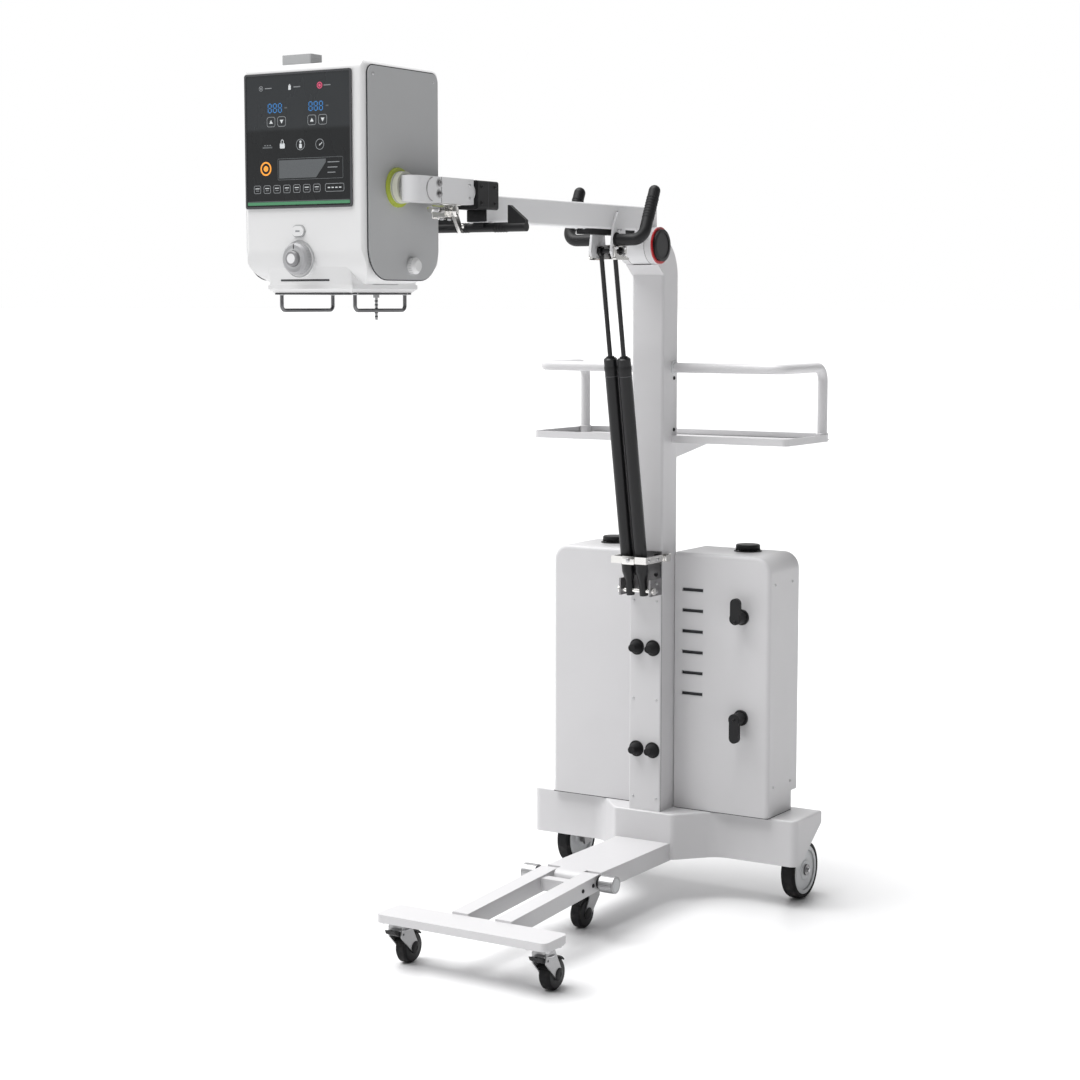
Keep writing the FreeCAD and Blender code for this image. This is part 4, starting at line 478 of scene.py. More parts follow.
NODE_FINISHES: dict[Finishes, tuple[str, ...]] = {
    Finishes.WHITE_PAINT: ("base_shell", "base_plate", "leg", "column", "column_cover", "cabinet_left",
                           "cabinet_right", "tray", "tray_rails", "folding_frame"),
    Finishes.ARM_PAINT: ("arm_beam", "front_tube", "arm_ears"),
    Finishes.DIAL: ("collimator_knob",),
    Finishes.WHITE_PLASTIC: ("head_shell", "hand_key", "collimator_frame", "side_knob"),
    Finishes.GREY_PLASTIC: ("side_covers", "cable_socket"),
    Finishes.HUB_GREY: ("hub_left", "hub_right"),
    Finishes.BLACK_PLASTIC: ("cable_caps", "cord_hooks", "pedal_left", "pedal_right", "arm_block",
                             "front_handle", "rear_grips"),
    Finishes.BLACK_RUBBER: ("buffers", "arm_pad"),
    Finishes.BLACK_COAT: ("spring_cylinders", "spring_rods", "pivot_shaft"),
    Finishes.TREAD: ("tyre_left", "tyre_right", "caster_wheel_left", "caster_wheel_right",
                     "caster_wheel_middle"),
    Finishes.CHROME: ("spring_pin", "spring_strap", "lock_clamp", "lock_lever"),
    Finishes.WIRE: ("wire_bails",),
    Finishes.DARK_STEEL: ("spring_bracket", "wheel_plates"),
    Finishes.STEEL: ("head_shaft",),
    Finishes.GALVANISED: ("centring_pin", "hinge_knob_left", "hinge_knob_right", "caster_fork_left",
                          "caster_fork_right", "caster_fork_middle"),
    Finishes.CASE: ("power_packs", "tube_tank"),
    Finishes.RED: ("pivot_ring",),
    Finishes.LIME: ("head_ring",),
    Finishes.CREAM: ("head_hub",),
    Finishes.PANEL: ("control_panel",),
    Finishes.CLEAR: ("collimator_window",),
}


@dataclass
class Studio:
    """The floor, the lights and the camera."""

    eye: Point = (2269.0, -4101.0, 1281.0)
    aim: Point = (-203.0, -135.0, 776.0)
    lens: float = 73.39
    floor_half: float = 300.0
    bright: float = 1.0
    dim: float = 0.16
    dim_side: Point = (0.88, -0.47, 0.0)
    dim_edges: Flat = (-0.6, 0.4)
    sun_way: Point = (-0.26, -0.25, 1.0)
    sun_strength: float = 4.0
    sun_spread: float = 50.0

    def build(self) -> None:
        """Make the studio."""
        self._floor()
        self._camera()
        self._world()
        self._sun("high_light", self.sun_way, self.sun_strength, self.sun_spread)
        scene = bpy.context.scene
        scene.view_settings.view_transform = "Standard"
        scene.view_settings.look = "None"

    def _floor(self) -> None:
        """A wide pale floor."""
        mesh = bpy.data.meshes.new("studio_floor")
        half = self.floor_half
        mesh.from_pydata([(-half, -half, 0), (half, -half, 0), (half, half, 0), (-half, half, 0)], [],
                         [(0, 1, 2, 3)])
        floor = bpy.data.objects.new("studio_floor", mesh)
        bpy.context.scene.collection.objects.link(floor)
        tree = Tree("studio_floor")
        tone = tree.mix(tree.noise(0.8).ramp(0.2, 0.8), (0.78, 0.78, 0.785), (0.80, 0.80, 0.805))
        mesh.materials.append(tree.surface({"Roughness": 0.4, "Specular IOR Level": 0.25}, Base_Color=tone))

    def _camera(self) -> None:
        """The photograph's point of view."""
        camera = bpy.data.cameras.new("camera")
        camera.lens = self.lens
        camera.sensor_width = 36.0
        camera.clip_end = 1000.0
        holder = bpy.data.objects.new("camera", camera)
        bpy.context.scene.collection.objects.link(holder)
        holder.location = at(*self.eye)
        holder.rotation_euler = (at(*self.aim) - at(*self.eye)).to_track_quat("-Z", "Y").to_euler()
        bpy.context.scene.camera = holder

    def _world(self) -> None:
        """Soft light from all sides, dimmer from the machine's right and front."""
        world = bpy.data.worlds.new("studio")
        world.use_nodes = True
        nodes, links = world.node_tree.nodes, world.node_tree.links
        back = nodes["Background"]
        place = nodes.new("ShaderNodeTexCoord")
        along = nodes.new("ShaderNodeVectorMath")
        along.operation = "DOT_PRODUCT"
        along.inputs[1].default_value = self.dim_side
        ramp = nodes.new("ShaderNodeMapRange")
        ramp.interpolation_type = "SMOOTHSTEP"
        for key, value in enumerate((*self.dim_edges, self.bright, self.dim), start=1):
            ramp.inputs[key].default_value = value
        links.new(place.outputs["Generated"], along.inputs[0])
        links.new(along.outputs["Value"], ramp.inputs[0])
        links.new(ramp.outputs[0], back.inputs[1])
        back.inputs[0].default_value = (1.0, 1.0, 1.0, 1.0)
        bpy.context.scene.world = world

    def _sun(self, name: str, way: Point, strength: float, spread: float) -> None:
        """A wide soft light from far away.

        Args:
            name: the light's name.
            way: the direction that it comes from.
            strength: its strength.
            spread: its width in degrees.
        """
        lamp = bpy.data.lights.new(name, "SUN")
        lamp.energy = strength
        lamp.angle = math.radians(spread)
        holder = bpy.data.objects.new(name, lamp)
        bpy.context.scene.collection.objects.link(holder)
        holder.rotation_euler = Vector(way).to_track_quat("Z", "Y").to_euler()


class Form:
    """A mesh in the making, in millimetres about the column's axis."""

    def __init__(self) -> None:
        """Start with nothing."""
        self.bm = bmesh.new()

    def loops(self, rings: Sequence[Sequence[Point]], closed: bool = True, caps: bool = True) -> "Form":
        """Join rings of equally many points by quads.

        Args:
            rings: the rings, one after the other.
            closed: whether each ring closes on itself.
            caps: whether the first and the last ring are filled.

        Returns:
            The form itself.
        """
        made = [[self.bm.verts.new(at(*point)) for point in ring] for ring in rings]
        count = len(made[0])
        for first, second in zip(made, made[1:]):
            for index in range(count if closed else count - 1):
                after = (index + 1) % count
                self.bm.faces.new((first[index], first[after], second[after], second[index]))
        if caps:
            self.bm.faces.new(list(reversed(made[0])))
            self.bm.faces.new(made[-1])
        return self

    def lathe(self, profile: Sequence[Flat], axis: str, centre: Point, steps: int = 40) -> "Form":
        """Turn a profile about an axis.

        Args:
            profile: pairs of radius and distance along the axis; off the axis it closes on itself.
            axis: X, Y or Z, with a minus for the other way.
            centre: where the axis starts.
            steps: faces round the axis.

        Returns:
            The form itself.
        """
        way = -1.0 if axis.startswith("-") else 1.0
        rings = []
        for radius, along in profile:
            ring = []
            for step in range(steps):
                turn = 2.0 * math.pi * step / steps
                first, second = max(radius, 0.01) * math.cos(turn), max(radius, 0.01) * math.sin(turn)
                offset = {"X": (way * along, first, second), "Y": (second, way * along, first),
                          "Z": (first, second, way * along)}[axis[-1]]
                ring.append(tuple(a + b for a, b in zip(centre, offset)))
            rings.append(ring)
        hollow = min(profile[0][0], profile[-1][0]) > 0.0
        if hollow:
            rings.append(rings[0])
        return self.loops(rings, caps=not hollow)

    def slab(self, low: Point, high: Point, radius: float = 0.6, segments: int = 2) -> "Form":
        """A block with rounded edges between two corners.

        Args:
            low: the lowest corner.
            high: the highest corner.
            radius: the edges' radius.
            segments: faces across an edge.

        Returns:
            The form itself.
        """
        middle = at(*[(a + b) / 2.0 for a, b in zip(low, high)])
        span = [(b - a) * MM for a, b in zip(low, high)]
        made = bmesh.ops.create_cube(self.bm, size=1.0, matrix=Matrix.Translation(middle)
                                     @ Matrix.Diagonal((*span, 1.0)))
        edges = list({edge for vert in made["verts"] for edge in vert.link_edges})
        bmesh.ops.bevel(self.bm, geom=edges, offset=radius * MM, segments=segments, affect="EDGES",
                        profile=0.5)
        return self

    def sheet(self, outline: Sequence[Flat], plane: str, start: float, depth: float,
              hole: Optional[Sequence[Flat]] = None) -> "Form":
        """A flat piece with a given outline, or a band between the outline and a hole.

        Args:
            outline: points of the outline.
            plane: XY, XZ or YZ.
            start: place of its first face on the third axis.
            depth: thickness, with its sign.
            hole: as many points of a hole's outline.

        Returns:
            The form itself.
        """
        def ring(points: Sequence[Flat], level: float) -> list[Point]:
            """The points of a loop on a level.

            Args:
                points: the loop's points in the plane.
                level: its place on the third axis.

            Returns:
                The points in space.
            """
            make = {"XY": lambda a, b: (a, b, level), "XZ": lambda a, b: (a, level, b),
                    "YZ": lambda a, b: (level, a, b)}[plane]
            return [make(a, b) for a, b in points]

        if hole is None:
            return self.loops([ring(outline, start), ring(outline, start + depth)])
        return self.loops([ring(outline, start), ring(outline, start + depth), ring(hole, start + depth),
                           ring(hole, start), ring(outline, start)], caps=False)

    def tube(self, path: Sequence[Point], radius: float, closed: bool = False, sides: int = 10) -> "Form":
        """A round rod along a path.

        Args:
            path: points along the rod's middle.
            radius: the rod's radius.
            closed: whether the path closes on itself.
            sides: faces round the rod.

        Returns:
            The form itself.
        """
        count = len(path)
        spots = [Vector(point) for point in path]
        rings = []
        side = None
        for index, spot in enumerate(spots):
            ahead = spots[(index + 1) % count] if closed or index < count - 1 else spot
            behind = spots[index - 1] if closed or index > 0 else spot
            way = (ahead - behind).normalized()
            if side is None:
                side = way.orthogonal().normalized()
            side = (side - way * side.dot(way)).normalized()
            other = way.cross(side)
            rings.append([tuple(spot + radius * (side * math.cos(turn) + other * math.sin(turn)))
                          for turn in (2.0 * math.pi * step / sides for step in range(sides))])
        if closed:
            rings.append(rings[0])
        return self.loops(rings, caps=not closed)

    def done(self, name: str, finish: Finishes, body: str, sharp: float = 40.0) -> bpy.types.Object:
        """Make the object, dress it and let it ride.

        Args:
            name: the piece's name.
            finish: its finish.
            body: the body that carries it.
            sharp: edges above this angle stay sharp, in degrees.

        Returns:
            The finished object.
        """
        bmesh.ops.remove_doubles(self.bm, verts=self.bm.verts, dist=0.000002)
        bmesh.ops.recalc_face_normals(self.bm, faces=self.bm.faces)
        mesh = bpy.data.meshes.new(name)
        self.bm.to_mesh(mesh)
        self.bm.free()
        return settle(name, mesh, finish, body, sharp)


def settle(name: str, mesh: bpy.types.Mesh, finish: Finishes, body: Optional[str],
           sharp: float = 40.0) -> bpy.types.Object:
    """Put a mesh into the scene as a dressed piece that rides on a body.

    Args:
        name: the piece's name.
        mesh: its mesh.
        finish: its finish.
        body: the body that carries it, or None for no body.
        sharp: edges above this angle stay sharp, in degrees.

    Returns:
        The finished object.
    """
    mesh.shade_smooth()
    mesh.set_sharp_from_angle(angle=math.radians(sharp))
    mesh.materials.clear()
    mesh.materials.append(finish.material())
    made = bpy.data.objects.new(name, mesh)
    bpy.context.scene.collection.objects.link(made)
    if body is not None:
        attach(made, body)
        LOG.info("piece %s on %s: %s, %d faces", name, body, finish.value.name, len(mesh.polygons))
    return made


def round_rect(low: Flat, high: Flat, radius: float, steps: int = 6) -> list[Flat]:
    """The outline of a rectangle with rounded corners, run round once.

    Args:
        low: the lowest corner.
        high: the highest corner.
        radius: the corners' radius.
        steps: runs in a corner.

    Returns:
        The outline's points.
    """
    points = []
    corners = ((high[0] - radius, high[1] - radius, 0), (low[0] + radius, high[1] - radius, 1),
               (low[0] + radius, low[1] + radius, 2), (high[0] - radius, low[1] + radius, 3))
    for x, y, quarter in corners:
        for step in range(steps + 1):
            turn = math.pi / 2.0 * (quarter + step / steps)
            points.append((x + radius * math.cos(turn), y + radius * math.sin(turn)))
    return points


def disc(centre: Flat, radius: float, steps: int = 24) -> list[Flat]:
    """The outline of a circle."""
    return [(centre[0] + radius * math.cos(2 * math.pi * step / steps),
             centre[1] + radius * math.sin(2 * math.pi * step / steps)) for step in range(steps)]


class Repeats:
    """Geometry Nodes trees that set copies of a small form on points, round a ring or along a row."""

    def __init__(self) -> None:
        """Start with no trees and no forms."""
        self.trees: dict[str, bpy.types.NodeTree] = {}
        self.forms: dict[str, bpy.types.Object] = {}

    @staticmethod
    def _start(name: str, inputs: Sequence[tuple[str, str, object]]) -> bpy.types.NodeTree:
        """A tree with named inputs and a mesh as its result.

        Args:
            name: the tree's name.
            inputs: each input's name, type and first value.

        Returns:
            The tree.
        """
        tree = bpy.data.node_groups.new(name, "GeometryNodeTree")
        for label, kind, value in inputs:
            socket = tree.interface.new_socket(name=label, in_out="INPUT", socket_type=kind)
            if value is not None:
                socket.default_value = value
        tree.interface.new_socket(name="Mesh", in_out="OUTPUT", socket_type="NodeSocketGeometry")
        return tree

    @staticmethod
    def _wire(tree: bpy.types.NodeTree, nodes: dict[str, tuple[str, dict[str, object]]],
              links: Sequence[tuple[str, object, str, object]]) -> None:
        """Add nodes and join them.

        Args:
            tree: the tree.
            nodes: for each short name, a node's type and its settings.
            links: from node, from socket, to node, to socket.
        """
        made = {}
        for label, (kind, settings) in nodes.items():
            made[label] = tree.nodes.new(kind)
            for key, value in settings.items():
                setattr(made[label], key, value)
        for source, out, target, into in links:
            tree.links.new(made[source].outputs[out], made[target].inputs[into])

    def _points_tree(self) -> bpy.types.NodeTree:
        """Copies on given points, each spun by a random turn about its own axis.

        Returns:
            The tree, made once.
        """
        if "points" not in self.trees:
            tree = self._start("copies_on_points", [
                ("Points", "NodeSocketGeometry", None), ("Form", "NodeSocketObject", None),
                ("Turn", "NodeSocketVector", None), ("Spin", "NodeSocketFloat", 6.28), ("Seed", "NodeSocketInt", 7),
                ("Size", "NodeSocketFloat", 1.0), ("Finish", "NodeSocketMaterial", None)])
            self._wire(tree, {
                "in": ("NodeGroupInput", {}), "form": ("GeometryNodeObjectInfo", {}),
                "turn": ("FunctionNodeEulerToRotation", {}), "set": ("GeometryNodeInstanceOnPoints", {}),
                "luck": ("FunctionNodeRandomValue", {"data_type": "FLOAT"}),
                "axis": ("ShaderNodeCombineXYZ", {}), "about": ("FunctionNodeEulerToRotation", {}),
                "spin": ("GeometryNodeRotateInstances", {}), "real": ("GeometryNodeRealizeInstances", {}),
                "dress": ("GeometryNodeSetMaterial", {}), "out": ("NodeGroupOutput", {}),
            }, [
                ("in", "Form", "form", "Object"), ("in", "Turn", "turn", 0), ("in", "Points", "set", "Points"),
                ("form", "Geometry", "set", "Instance"), ("turn", 0, "set", "Rotation"),
                ("in", "Size", "set", "Scale"), ("in", "Spin", "luck", 3), ("in", "Seed", "luck", "Seed"),
                ("luck", 1, "axis", "Z"), ("axis", 0, "about", 0), ("set", 0, "spin", "Instances"),
                ("about", 0, "spin", "Rotation"), ("spin", 0, "real", 0), ("real", 0, "dress", "Geometry"),
                ("in", "Finish", "dress", "Material"), ("dress", 0, "out", 0)])
            self.trees["points"] = tree
        return self.trees["points"]

    def _ring_tree(self) -> bpy.types.NodeTree:
        """Bars round a ring about the Z axis, then turned and moved into place.

        Returns:
            The tree, made once.
        """
        if "ring" not in self.trees:
            tree = self._start("bars_round_a_ring", [
                ("Count", "NodeSocketInt", 24), ("Radius", "NodeSocketFloat", 0.02),
                ("Bar", "NodeSocketVector", (0.001, 0.001, 0.01)), ("Turn", "NodeSocketVector", None),
                ("Place", "NodeSocketVector", None), ("Finish", "NodeSocketMaterial", None)])
            self._wire(tree, {
                "in": ("NodeGroupInput", {}), "ring": ("GeometryNodeMeshCircle", {}),
                "bar": ("GeometryNodeMeshCube", {}), "spot": ("GeometryNodeInputPosition", {}),
                "face": ("FunctionNodeAlignRotationToVector", {"axis": "X", "pivot_axis": "Z"}),
                "set": ("GeometryNodeInstanceOnPoints", {}), "real": ("GeometryNodeRealizeInstances", {}),
                "turn": ("FunctionNodeEulerToRotation", {}), "move": ("GeometryNodeTransform", {}),
                "dress": ("GeometryNodeSetMaterial", {}), "out": ("NodeGroupOutput", {}),
            }, [
                ("in", "Count", "ring", "Vertices"), ("in", "Radius", "ring", "Radius"),
                ("in", "Bar", "bar", "Size"), ("spot", 0, "face", "Vector"), ("ring", 0, "set", "Points"),
                ("bar", 0, "set", "Instance"), ("face", 0, "set", "Rotation"), ("set", 0, "real", 0),
                ("real", 0, "move", "Geometry"), ("in", "Place", "move", "Translation"),
                ("in", "Turn", "turn", 0), ("turn", 0, "move", "Rotation"), ("move", 0, "dress", "Geometry"),
                ("in", "Finish", "dress", "Material"), ("dress", 0, "out", 0)])
            self.trees["ring"] = tree
        return self.trees["ring"]

    def _row_tree(self) -> bpy.types.NodeTree:
        """Copies of a form along a straight row.

        Returns:
            The tree, made once.
        """
        if "row" not in self.trees:
            tree = self._start("copies_in_a_row", [
                ("Form", "NodeSocketObject", None), ("Count", "NodeSocketInt", 5),
                ("Start", "NodeSocketVector", None), ("Step", "NodeSocketVector", None),
                ("Turn", "NodeSocketVector", None), ("Finish", "NodeSocketMaterial", None)])
            self._wire(tree, {
                "in": ("NodeGroupInput", {}), "row": ("GeometryNodeMeshLine", {}),
                "form": ("GeometryNodeObjectInfo", {}), "turn": ("FunctionNodeEulerToRotation", {}),
                "set": ("GeometryNodeInstanceOnPoints", {}), "real": ("GeometryNodeRealizeInstances", {}),
                "dress": ("GeometryNodeSetMaterial", {}), "out": ("NodeGroupOutput", {}),
            }, [
                ("in", "Count", "row", "Count"), ("in", "Start", "row", "Start Location"),
                ("in", "Step", "row", "Offset"), ("in", "Form", "form", "Object"), ("row", 0, "set", "Points"),
                ("form", "Geometry", "set", "Instance"), ("in", "Turn", "turn", 0), ("turn", 0, "set", "Rotation"),
                ("set", 0, "real", 0), ("real", 0, "dress", "Geometry"), ("in", "Finish", "dress", "Material"),
                ("dress", 0, "out", 0)])
            self.trees["row"] = tree
        return self.trees["row"]

    def _run(self, name: str, tree: bpy.types.NodeTree, start: bpy.types.Mesh, values: dict[str, object],
             finish: Finishes, body: str) -> bpy.types.Object:
        """Run a tree once and keep its result as a plain mesh.

        Args:
            name: the piece's name.
            tree: the tree.
            start: the mesh that goes in.
            values: a value for each named input.
            finish: the finish.
            body: the body that carries it.

        Returns:
            The piece.
        """
        holder = bpy.data.objects.new(name + "_holder", start)
        bpy.context.scene.collection.objects.link(holder)
        modifier = holder.modifiers.new("copies", "NODES")
        modifier.node_group = tree
        keys = {item.name: item.identifier for item in tree.interface.items_tree
                if item.item_type == "SOCKET" and item.in_out == "INPUT"}
        for label, value in values.items():
            modifier[keys[label]] = value
        modifier[keys["Finish"]] = finish.material()
        graph = bpy.context.evaluated_depsgraph_get()
        mesh = bpy.data.meshes.new_from_object(holder.evaluated_get(graph))
        mesh.name = name
        holder.modifiers.remove(modifier)
        bpy.data.objects.remove(holder)
        if not mesh.polygons:
            raise RuntimeError("%s came out empty" % name)
        return settle(name, mesh, finish, body)

    def clear(self) -> None:
        """Drop the forms that were only there to be copied."""
        for form in self.forms.values():
            bpy.data.objects.remove(form)
        self.forms.clear()

    def _form(self, kind: str, make: "Form") -> bpy.types.Object:
        """A small form kept for copying, centred on the origin and hidden.

        Args:
            kind: the form's name.
            make: the mesh in the making.

        Returns:
            The form's object.
        """
        bmesh.ops.remove_doubles(make.bm, verts=make.bm.verts, dist=0.000002)
        bmesh.ops.recalc_face_normals(make.bm, faces=make.bm.faces)
        mesh = bpy.data.meshes.new("form_" + kind)
        make.bm.to_mesh(mesh)
        make.bm.free()
        mesh.transform(Matrix.Translation((0.0, -SHIFT, 0.0)))
        made = bpy.data.objects.new("form_" + kind, mesh)
        self.forms[kind] = made
        return made

    def screw(self) -> bpy.types.Object:
        """A pan head with a hexagon socket, 1 mm in radius, standing on the origin along Z.

        Returns:
            The form.
        """
        if "screw" in self.forms:
            return self.forms["screw"]
        form = Form()
        form.lathe([(1.0, 0.0), (1.0, 0.28), (0.86, 0.5), (0.6, 0.62), (0.48, 0.62), (0.46, 0.3), (0.0, 0.28)],
                   "Z", (0, 0, 0), 18)
        return self._form("screw", form)

    def bolt(self) -> bpy.types.Object:
        """A hexagon head on a washer, 1 mm in radius, standing on the origin along Z.

        Returns:
            The form.
        """
        if "bolt" in self.forms:
            return self.forms["bolt"]
        form = Form()
        form.lathe([(1.0, 0.0), (1.0, 0.14), (0.94, 0.18), (0.5, 0.18)], "Z", (0, 0, 0), 20)
        form.lathe([(0.8, 0.17), (0.8, 0.66), (0.66, 0.76), (0.0, 0.78)], "Z", (0, 0, 0), 6)
        return self._form("bolt", form)

    def slat(self, kind: str, span: Point, radius: float) -> bpy.types.Object:
        """A small bar with rounded edges, centred on the origin.

        Args:
            kind: the form's name.
            span: its three sizes.
            radius: the edges' radius.

        Returns:
            The form.
        """
        if kind in self.forms:
            return self.forms[kind]
        half = [part / 2.0 for part in span]
        return self._form(kind, Form().slab(tuple(-part for part in half), tuple(half), radius))

    def band(self, kind: str, inner: float, outer: float, width: float) -> bpy.types.Object:
        """A round rubber band about Z, centred on the origin.

        Args:
            kind: the form's name.
            inner: inner radius.
            outer: outer radius.
            width: size along the axis.

        Returns:
            The form.
        """
        if kind in self.forms:
            return self.forms[kind]
        half = width / 2.0
        return self._form(kind, Form().lathe([
            (inner, -half), (outer - 0.4, -half), (outer, -half * 0.4), (outer, half * 0.4),
            (outer - 0.4, half), (inner, half)], "Z", (0, 0, 0), 28))

    def scatter(self, name: str, form: bpy.types.Object, points: Sequence[Point], way: str, size: float,
                finish: Finishes, body: str) -> bpy.types.Object:
        """Copies of a form on points, standing up along an axis.

        Args:
            name: the piece's name.
            form: what is copied.
            points: places in millimetres about the column's axis.
            way: the axis that the copies stand along.
            size: a copy's radius in millimetres.
            finish: the finish.
            body: the body that carries them.

        Returns:
            The piece.
        """
        turn = {"Z": (0.0, 0.0, 0.0), "-Z": (math.pi, 0.0, 0.0), "X": (0.0, math.pi / 2, 0.0),
                "-X": (0.0, -math.pi / 2, 0.0), "Y": (-math.pi / 2, 0.0, 0.0), "-Y": (math.pi / 2, 0.0, 0.0)}[way]
        mesh = bpy.data.meshes.new(name + "_points")
        mesh.from_pydata([at(*point) for point in points], [], [])
        return self._run(name, self._points_tree(), mesh,
                         {"Form": form, "Turn": turn, "Spin": 6.28, "Seed": 7, "Size": size}, finish, body)

    def ring(self, name: str, count: int, radius: float, bar: Point, axis: str, centre: Point,
             finish: Finishes, body: str) -> bpy.types.Object:
        """Bars round a ring.

        Args:
            name: the piece's name.
            count: how many bars.
            radius: the ring's radius.
            bar: a bar's height outwards, width and length.
            axis: the ring's axis.
            centre: the ring's middle.
            finish: the finish.
            body: the body that carries it.

        Returns:
            The piece.
        """
        turn = {"Z": (0.0, 0.0, 0.0), "X": (0.0, math.pi / 2, 0.0), "Y": (math.pi / 2, 0.0, 0.0)}[axis]
        values = {"Count": count, "Radius": radius * MM, "Bar": tuple(part * MM for part in bar), "Turn": turn,
                  "Place": tuple(at(*centre))}
        return self._run(name, self._ring_tree(), bpy.data.meshes.new(name + "_start"), values, finish, body)

    def row(self, name: str, form: bpy.types.Object, count: int, start: Point, step: Point, finish: Finishes,
            body: str, turn: Point = (0.0, 0.0, 0.0)) -> bpy.types.Object:
        """Copies of a form in a row, a step apart.

        Args:
            name: the piece's name.
            form: what is copied.
            count: how many copies.
            start: the first copy's place.
            step: from one copy to the next.
            finish: the finish.
            body: the body that carries it.
            turn: each copy's turn about the three axes, in radians.

        Returns:
            The piece.
        """
        values = {"Form": form, "Count": count, "Start": tuple(at(*start)),
                  "Step": tuple(part * MM for part in step), "Turn": turn}
        return self._run(name, self._row_tree(), bpy.data.meshes.new(name + "_start"), values, finish, body)


@dataclass
class Marks:
    """Flat marks on the control panel's glass, in one mesh for each finish."""

    face: float = -960.5
    lift: float = 0.3
    forms: dict[Finishes, Form] = field(default_factory=dict)

    def _form(self, finish: Finishes) -> Form:
        """The form that collects a finish's marks."""
        return self.forms.setdefault(finish, Form())

    def plate(self, finish: Finishes, outline: Sequence[Flat]) -> None:
        """A filled mark."""
        self._form(finish).sheet(outline, "XZ", self.face + 0.05, -self.lift)

    def band(self, finish: Finishes, low: Flat, high: Flat, radius: float, wide: float) -> None:
        """An outlined rectangle with rounded corners.

        Args:
            finish: the mark's finish.
            low: the lowest corner.
            high: the highest corner.
            radius: the corners' radius.
            wide: the line's width.
        """
        inner = round_rect((low[0] + wide, low[1] + wide), (high[0] - wide, high[1] - wide),
                           max(radius - wide, 0.2), 4)
        self._form(finish).sheet(round_rect(low, high, radius, 4), "XZ", self.face + 0.05, -self.lift, inner)

    def ring(self, finish: Finishes, centre: Flat, radius: float, wide: float) -> None:
        """An outlined circle."""
        self._form(finish).sheet(disc(centre, radius), "XZ", self.face + 0.05, -self.lift,
                                 disc(centre, radius - wide))

    def bar(self, finish: Finishes, low: Flat, high: Flat) -> None:
        """A filled rectangle."""
        self.plate(finish, [low, (high[0], low[1]), high, (low[0], high[1])])

    def digits(self, finish: Finishes, centre: Flat, count: int, size: Flat, gap: float) -> None:
        """A lit figure display: each place is seven bars.

        Args:
            finish: the bars' finish.
            centre: the display's middle.
            count: how many places it has.
            size: a place's width and height.
            gap: distance between places.
        """
        wide, high = size
        left = centre[0] - (count * wide + (count - 1) * gap) / 2.0
        thick = wide * 0.2
        for place in range(count):
            x = left + place * (wide + gap)
            for level in (-high / 2.0, -thick / 2.0, high / 2.0 - thick):
                self.bar(finish, (x + thick * 1.2, centre[1] + level),
                         (x + wide - thick * 1.2, centre[1] + level + thick))
            for side in (x, x + wide - thick):
                for level in (-high / 2.0 + thick * 0.9, thick * 0.6):
                    self.bar(finish, (side, centre[1] + level),
                             (side + thick, centre[1] + level + high / 2.0 - thick * 1.5))

    def build(self, body: str) -> None:
        """Make one piece for each finish."""
        for finish, form in self.forms.items():
            form.done("panel_" + finish.value.name, finish, body)


